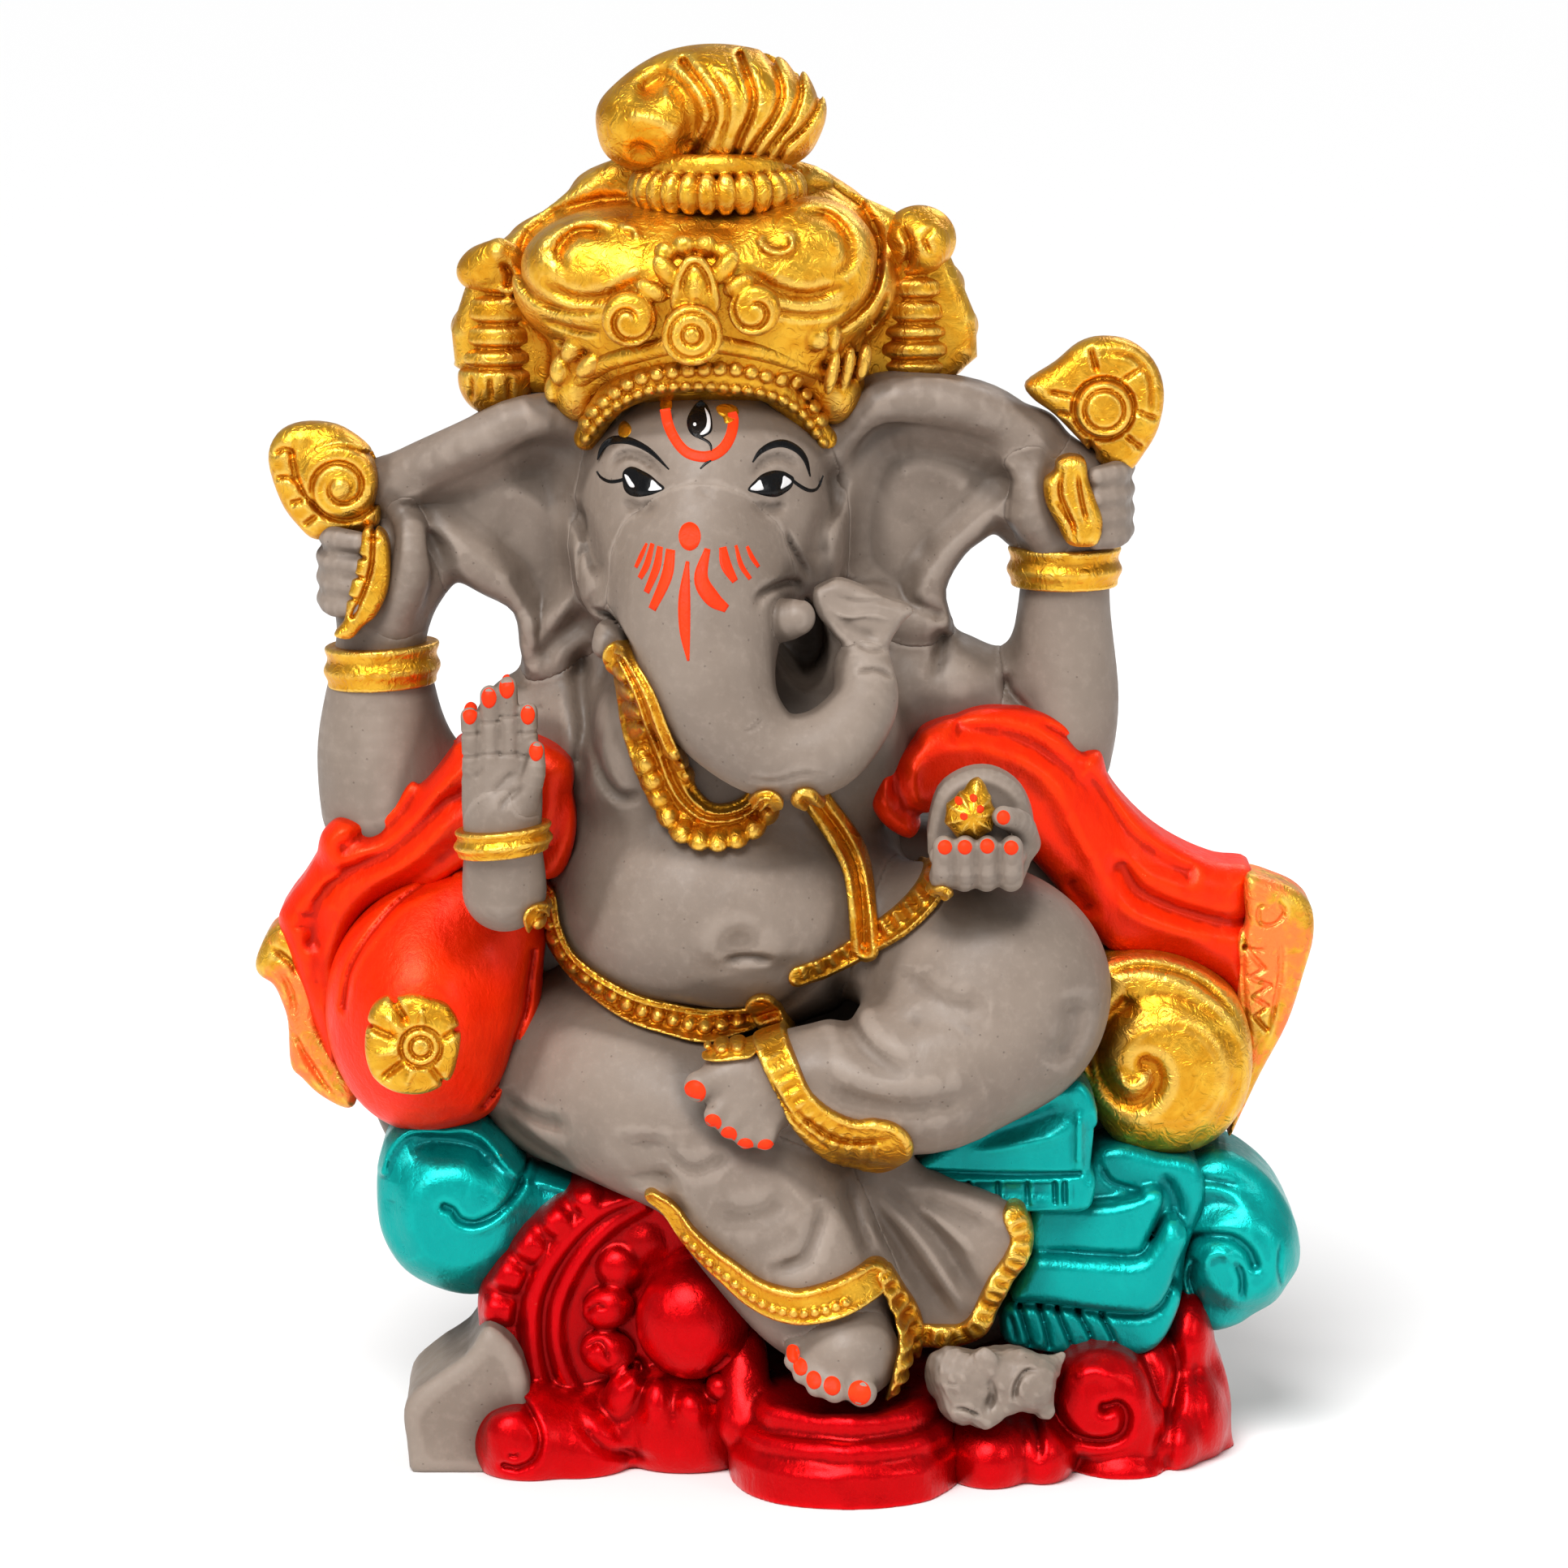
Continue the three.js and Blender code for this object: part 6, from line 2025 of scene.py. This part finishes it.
GILT = [
    spot([(-25.8, 226.9), (-24.9, 228.0), (-23.6, 227.7), (-23.3, 226.6), (-23.7, 225.6),
        (-25.6, 225.7)], 0.22),
    spot([(-14.1, 226.4), (-12.4, 227.0), (-10.1, 226.5), (-9.4, 225.2), (-10.6, 223.9), (-12.1, 223.4),
        (-12.7, 224.6), (-13.6, 225.2)], 0.22),
    spot([(-34.4, 222.1), (-33.2, 222.8), (-31.9, 222.0), (-32.0, 220.8), (-33.3, 219.7),
        (-34.6, 220.3)], 0.2),
]


def joined(patches):
    """Several patches as one list of vertices and faces."""
    verts, faces, done = [], [], 0
    for v, f in patches:
        verts.append(v)
        faces.append(f + done)
        done += len(v)
    return np.concatenate(verts), np.concatenate(faces)


# ---------------------------------------------------------------- paints


def rgb(r, g, b):
    """A colour as the eye names it, in Blender's linear numbers."""
    return [c / 12.92 if c < 0.04 else ((c + 0.055) / 1.055) ** 2.4 for c in (r, g, b)] + [1.0]


class Paint:
    """A material being built. Its pattern coordinates are the row frame's millimetres."""

    def __init__(self, name):
        self.material = bpy.data.materials.new(name)
        self.material.use_nodes = True
        self.tree = self.material.node_tree
        self.tree.nodes.clear()
        place = self.node("TexCoord").outputs["Object"]
        self.mm = self.node("VectorMath", {0: place, "Scale": 1000.0}, operation="SCALE").outputs[0]
        self.hollow = self.node("Attribute", attribute_name="hollow").outputs["Fac"]
        self.shade = self.node("Attribute", attribute_name="shade").outputs["Fac"]

    def node(self, kind, inputs=None, **settings):
        made = self.tree.nodes.new("ShaderNode" + kind)
        for key, value in settings.items():
            setattr(made, key, value)
        for key, value in (inputs or {}).items():
            if isinstance(value, bpy.types.NodeSocket):
                self.tree.links.new(value, made.inputs[key])
            else:
                made.inputs[key].default_value = value
        return made

    def noise(self, size, detail=3.0, rough=0.55, bend=0.0, stretch=None):
        """A soft random pattern whose features are about size mm."""
        where = self.mm
        if stretch:
            where = self.node("VectorMath", {0: where, 1: stretch}, operation="MULTIPLY").outputs[0]
        inputs = {"Vector": where, "Scale": 1 / size, "Detail": detail, "Roughness": rough,
            "Distortion": bend}
        return self.node("TexNoise", inputs).outputs["Fac"]

    def cells(self, size):
        return self.node("TexVoronoi", {"Vector": self.mm, "Scale": 1 / size}).outputs["Distance"]

    def sum(self, a, b, operation="ADD"):
        return self.node("Math", {0: a, 1: b}, operation=operation).outputs[0]

    def between(self, value, low, high, to_low=0.0, to_high=1.0):
        """value from low..high stretched to to_low..to_high, and held inside it."""
        inputs = {"Value": value, "From Min": low, "From Max": high, "To Min": to_low, "To Max": to_high}
        return self.node("MapRange", inputs, interpolation_type="SMOOTHSTEP").outputs[0]

    def mix(self, share, a, b):
        """The colour a, with this share of b."""
        return self.node("Mix", {0: share, 6: a, 7: b}, data_type="RGBA").outputs[2]

    def bump(self, height, deep, after=None):
        """height (0..1) as a relief deep mm high."""
        inputs = {"Height": height, "Distance": deep * MM, "Strength": 1.0}
        if after is not None:
            inputs["Normal"] = after
        return self.node("Bump", inputs).outputs[0]

    def finish(self, colour, roughness, normal, **constants):
        inputs = {"Base Color": colour, "Roughness": roughness, "Normal": normal}
        inputs.update({key.replace("_", " "): value for key, value in constants.items()})
        shader = self.node("BsdfPrincipled", inputs)
        output = self.node("OutputMaterial", {"Surface": shader.outputs[0]})
        output.is_active_output = True
        return self.material


def clay_paint():
    """Bare matt clay with pores and tool marks, painted highlights on its ridges and painted shade in its
    folds.
    """
    p = Paint("clay")
    broad = p.noise(24, 3)
    fine = p.noise(1.8, 5, 0.6)
    colour = p.mix(p.between(broad, 0.3, 0.7), rgb(0.48, 0.424, 0.378), rgb(0.535, 0.478, 0.43))
    colour = p.mix(p.between(fine, 0.45, 0.8, 0.0, 0.2), colour, rgb(0.66, 0.60, 0.55))
    # painted shade in creases, then a painted highlight on ridges
    colour = p.mix(p.between(p.hollow, 0.2, 1.0, 0.0, 0.25), colour, rgb(0.30, 0.245, 0.20))
    colour = p.mix(p.between(p.hollow, -1.0, -0.4, 0.2, 0.0), colour, rgb(0.72, 0.66, 0.61))
    # painted shade where other surfaces stand close
    colour = p.mix(p.between(p.shade, 0.25, 1.0, 0.0, 0.58), colour, rgb(0.25, 0.20, 0.16))
    pores = p.cells(3.1)
    colour = p.mix(p.between(pores, 0.05, 0.10, 0.4, 0.0), colour, rgb(0.30, 0.25, 0.21))
    roughness = p.between(p.noise(7, 4), 0.3, 0.7, 0.44, 0.62)
    tools = p.noise(5.5, 3, 0.5, 0.4, (1, 1, 0.35))
    normal = p.bump(tools, 0.22)
    normal = p.bump(fine, 0.07, normal)
    normal = p.bump(p.between(pores, 0.02, 0.10), 0.08, normal)
    return p.finish(colour, roughness, normal, Specular_IOR_Level=0.35)


def gold_paint(name="gold_paint", under=None):
    """Metallic gold brushed on thickly. under shows through it in patches, as at a scarf's end."""
    p = Paint(name)
    strokes = p.noise(5.0, 4, 0.5, 0.6)
    crinkle = p.noise(3.4, 3, 0.5, 1.2)
    colour = p.mix(p.between(strokes, 0.3, 0.7), rgb(0.85, 0.585, 0.115), rgb(0.925, 0.705, 0.21))
    # painted shade in crevices, then a painted highlight on ridges
    colour = p.mix(p.between(p.hollow, 0.15, 1.0, 0.0, 0.6), colour, rgb(0.68, 0.36, 0.03))
    colour = p.mix(p.between(p.hollow, -1.0, -0.3, 0.4, 0.0), colour, rgb(1.0, 0.87, 0.46))
    # painted shade where other surfaces stand close
    colour = p.mix(p.between(p.shade, 0.35, 1.0, 0.0, 0.35), colour, rgb(0.60, 0.31, 0.02))
    worn = p.between(p.noise(4.2, 6, 0.7), 0.74, 0.77)
    colour = p.mix(p.sum(worn, 0.6, "MULTIPLY"), colour, rgb(0.56, 0.44, 0.30))
    metal = p.between(worn, 0.0, 1.0, 0.93, 0.25)
    if under is not None:
        thin = p.between(p.sum(p.noise(9, 4, 0.6), p.between(crinkle, 0.3, 0.7, -0.05, 0.05)), 0.42, 0.62)
        colour = p.mix(thin, colour, under)
        metal = p.between(thin, 0.0, 1.0, 0.85, 0.5)
    roughness = p.between(crinkle, 0.3, 0.7, 0.32, 0.44)
    wrinkle = p.sum(p.sum(crinkle, 0.5, "SUBTRACT"), 0.0, "ABSOLUTE")
    normal = p.bump(strokes, 0.26)
    normal = p.bump(p.between(wrinkle, 0.0, 0.16, 1.0, 0.0), 0.10, normal)
    normal = p.bump(p.noise(1.2, 3, 0.5, 0.4, (1, 1, 0.4)), 0.06, normal)
    return p.finish(colour, roughness, normal, Metallic=metal)


def enamel(name, deep, body, light, roughness, coat=0.0, metal=0.0, edge=None):
    """A brushed colour coat. Where edge is given, small chips of that colour show through it."""
    p = Paint(name)
    broad = p.noise(14, 3)
    brush = p.noise(2.6, 4, 0.6, 0.5, (1, 1, 0.5))
    colour = p.mix(p.between(broad, 0.3, 0.7), body, p.mix(0.22, body, light))
    # painted shade in crevices, then a painted highlight on ridges
    colour = p.mix(p.between(p.hollow, 0.15, 1.0, 0.0, 0.5), colour, deep)
    colour = p.mix(p.between(p.hollow, -1.0, -0.35, 0.35, 0.0), colour, light)
    colour = p.mix(p.between(brush, 0.45, 0.8, 0.0, 0.2), colour, light)
    # painted shade where other surfaces stand close
    colour = p.mix(p.between(p.shade, 0.35, 1.0, 0.0, 0.36), colour, deep)
    if edge is not None:
        chips = p.sum(p.noise(3.4, 6, 0.7), p.between(p.hollow, -1.0, -0.4, 0.10, 0.0))
        colour = p.mix(p.between(chips, 0.77, 0.81, 0.0, 0.6), colour, edge)
    rough = p.between(brush, 0.3, 0.7, roughness - 0.07, roughness + 0.08)
    normal = p.bump(brush, 0.22)
    normal = p.bump(p.noise(0.9, 4, 0.6), 0.10, normal)
    looks = {"Metallic": metal, "Coat_Weight": coat, "Coat_Roughness": 0.2, "Specular_IOR_Level": 0.15}
    return p.finish(colour, rough, normal, **looks)


SCARLET_CHIP = rgb(0.98, 0.55, 0.30)
CRIMSON_CHIP = rgb(0.80, 0.42, 0.34)
TEAL_CHIP = rgb(0.72, 0.66, 0.34)
PAINTS = {
    "clay": clay_paint(),
    "gold_paint": gold_paint(),
    "gold_over_scarlet": gold_paint("gold_over_scarlet", rgb(0.98, 0.50, 0.22)),
    # for each enamel the first colour is its painted shade in crevices and folds, and the third is its
    # lighter tone, also painted on ridges as highlight
    "scarlet_paint": enamel("scarlet_paint", rgb(0.42, 0.01, 0.0), rgb(0.97, 0.15, 0.0),
        rgb(1.0, 0.26, 0.0), 0.40, 0.05, 0.4, SCARLET_CHIP),
    "crimson_paint": enamel("crimson_paint", rgb(0.36, 0.0, 0.0), rgb(0.76, 0.0, 0.02),
        rgb(0.90, 0.0, 0.06), 0.34, 0.06, 0.75, CRIMSON_CHIP),
    "teal_paint": enamel("teal_paint", rgb(0.0, 0.33, 0.35), rgb(0.0, 0.62, 0.60), rgb(0.05, 0.76, 0.72),
        0.34, 0.10, 0.65, TEAL_CHIP),
    "mark_paint": enamel("mark_paint", rgb(0.85, 0.12, 0.02), rgb(0.95, 0.20, 0.04),
        rgb(1.0, 0.30, 0.08), 0.5),
    "black_paint": enamel("black_paint", rgb(0.01, 0.01, 0.01), rgb(0.03, 0.03, 0.035),
        rgb(0.06, 0.06, 0.07), 0.3, 0.1),
    "white_paint": enamel("white_paint", rgb(0.7, 0.68, 0.66), rgb(0.84, 0.83, 0.83),
        rgb(0.90, 0.89, 0.89), 0.4, 0.1),
}
LOOKS = {"right_scarf_fringe": "gold_over_scarlet", "left_scarf_border": "gold_over_scarlet"}


# ---------------------------------------------------------------- building

skins = [skin(form, pitch) for form, _, pitch in SHAPES.values()]
for (name, (_, slot, _)), (verts, quads), shade in zip(SHAPES.items(), skins, crowding(skins)):
    obj = mesh_object(f"{name}_form", verts, quads, hollow=hollowness(verts, quads), shade=shade)
    obj.data.materials.append(PAINTS[LOOKS.get(name, slot)])
    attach(obj, "root")
    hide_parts(name)
for name, patches in (("mark_paint", ORANGE), ("black_paint", BLACK), ("white_paint", WHITE),
        ("gold_paint", GILT)):
    obj = mesh_object(f"{name}_strokes", *joined(patches))
    obj.data.materials.append(PAINTS[name])
    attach(obj, "root")

# ---------------------------------------------------------------- room, light, camera

bpy.ops.mesh.primitive_plane_add(size=30, location=(0, 0, 0))
floor = bpy.context.object
floor.name = "floor"
room = bpy.data.materials.new("floor")
room.use_nodes = True
room.node_tree.nodes["Principled BSDF"].inputs["Base Color"].default_value = rgb(0.95, 0.95, 0.95)
room.node_tree.nodes["Principled BSDF"].inputs["Roughness"].default_value = 0.85
floor.data.materials.append(room)

scene = bpy.context.scene
world = bpy.data.worlds.new("room")
world.use_nodes = True
world.node_tree.nodes["Background"].inputs["Color"].default_value = (1, 1, 1, 1)
world.node_tree.nodes["Background"].inputs["Strength"].default_value = 0.36
scene.world = world
scene.view_settings.view_transform = "Standard"

target = Vector((0, -10, 144.4)) * MM  # the middle of the idol's front
distance = 1.3  # m from there to the camera
tilt = math.radians(10)  # by which the camera looks down


def lamp(name, place, kind, power, **settings):
    """A light that points at target."""
    data = bpy.data.lights.new(name, kind)
    data.energy = power
    for key, value in settings.items():
        setattr(data, key, value)
    obj = bpy.data.objects.new(name, data)
    obj.location = place
    obj.rotation_euler = (target - obj.location).to_track_quat("-Z", "Y").to_euler()
    scene.collection.objects.link(obj)


lamp("sky", (-0.35, -1.0, 1.4), "SUN", 3.3, angle=math.radians(32))
lamp("key", (-0.9, -1.0, 0.8), "AREA", 2.5, size=0.4)
lamp("fill", (1.0, -0.8, 0.7), "AREA", 2.5, size=0.4)
lamp("rim", (0.5, 0.9, 1.0), "AREA", 4, size=0.6)

lens = bpy.data.cameras.new("camera")
lens.sensor_width = 36
lens.lens = 140.5
lens.clip_start = 0.05
lens.clip_end = 60
camera = bpy.data.objects.new("camera", lens)
camera.location = target + Vector((0, -math.cos(tilt), math.sin(tilt))) * distance
camera.rotation_euler = (target - camera.location).to_track_quat("-Z", "Y").to_euler()
scene.collection.objects.link(camera)
scene.camera = camera
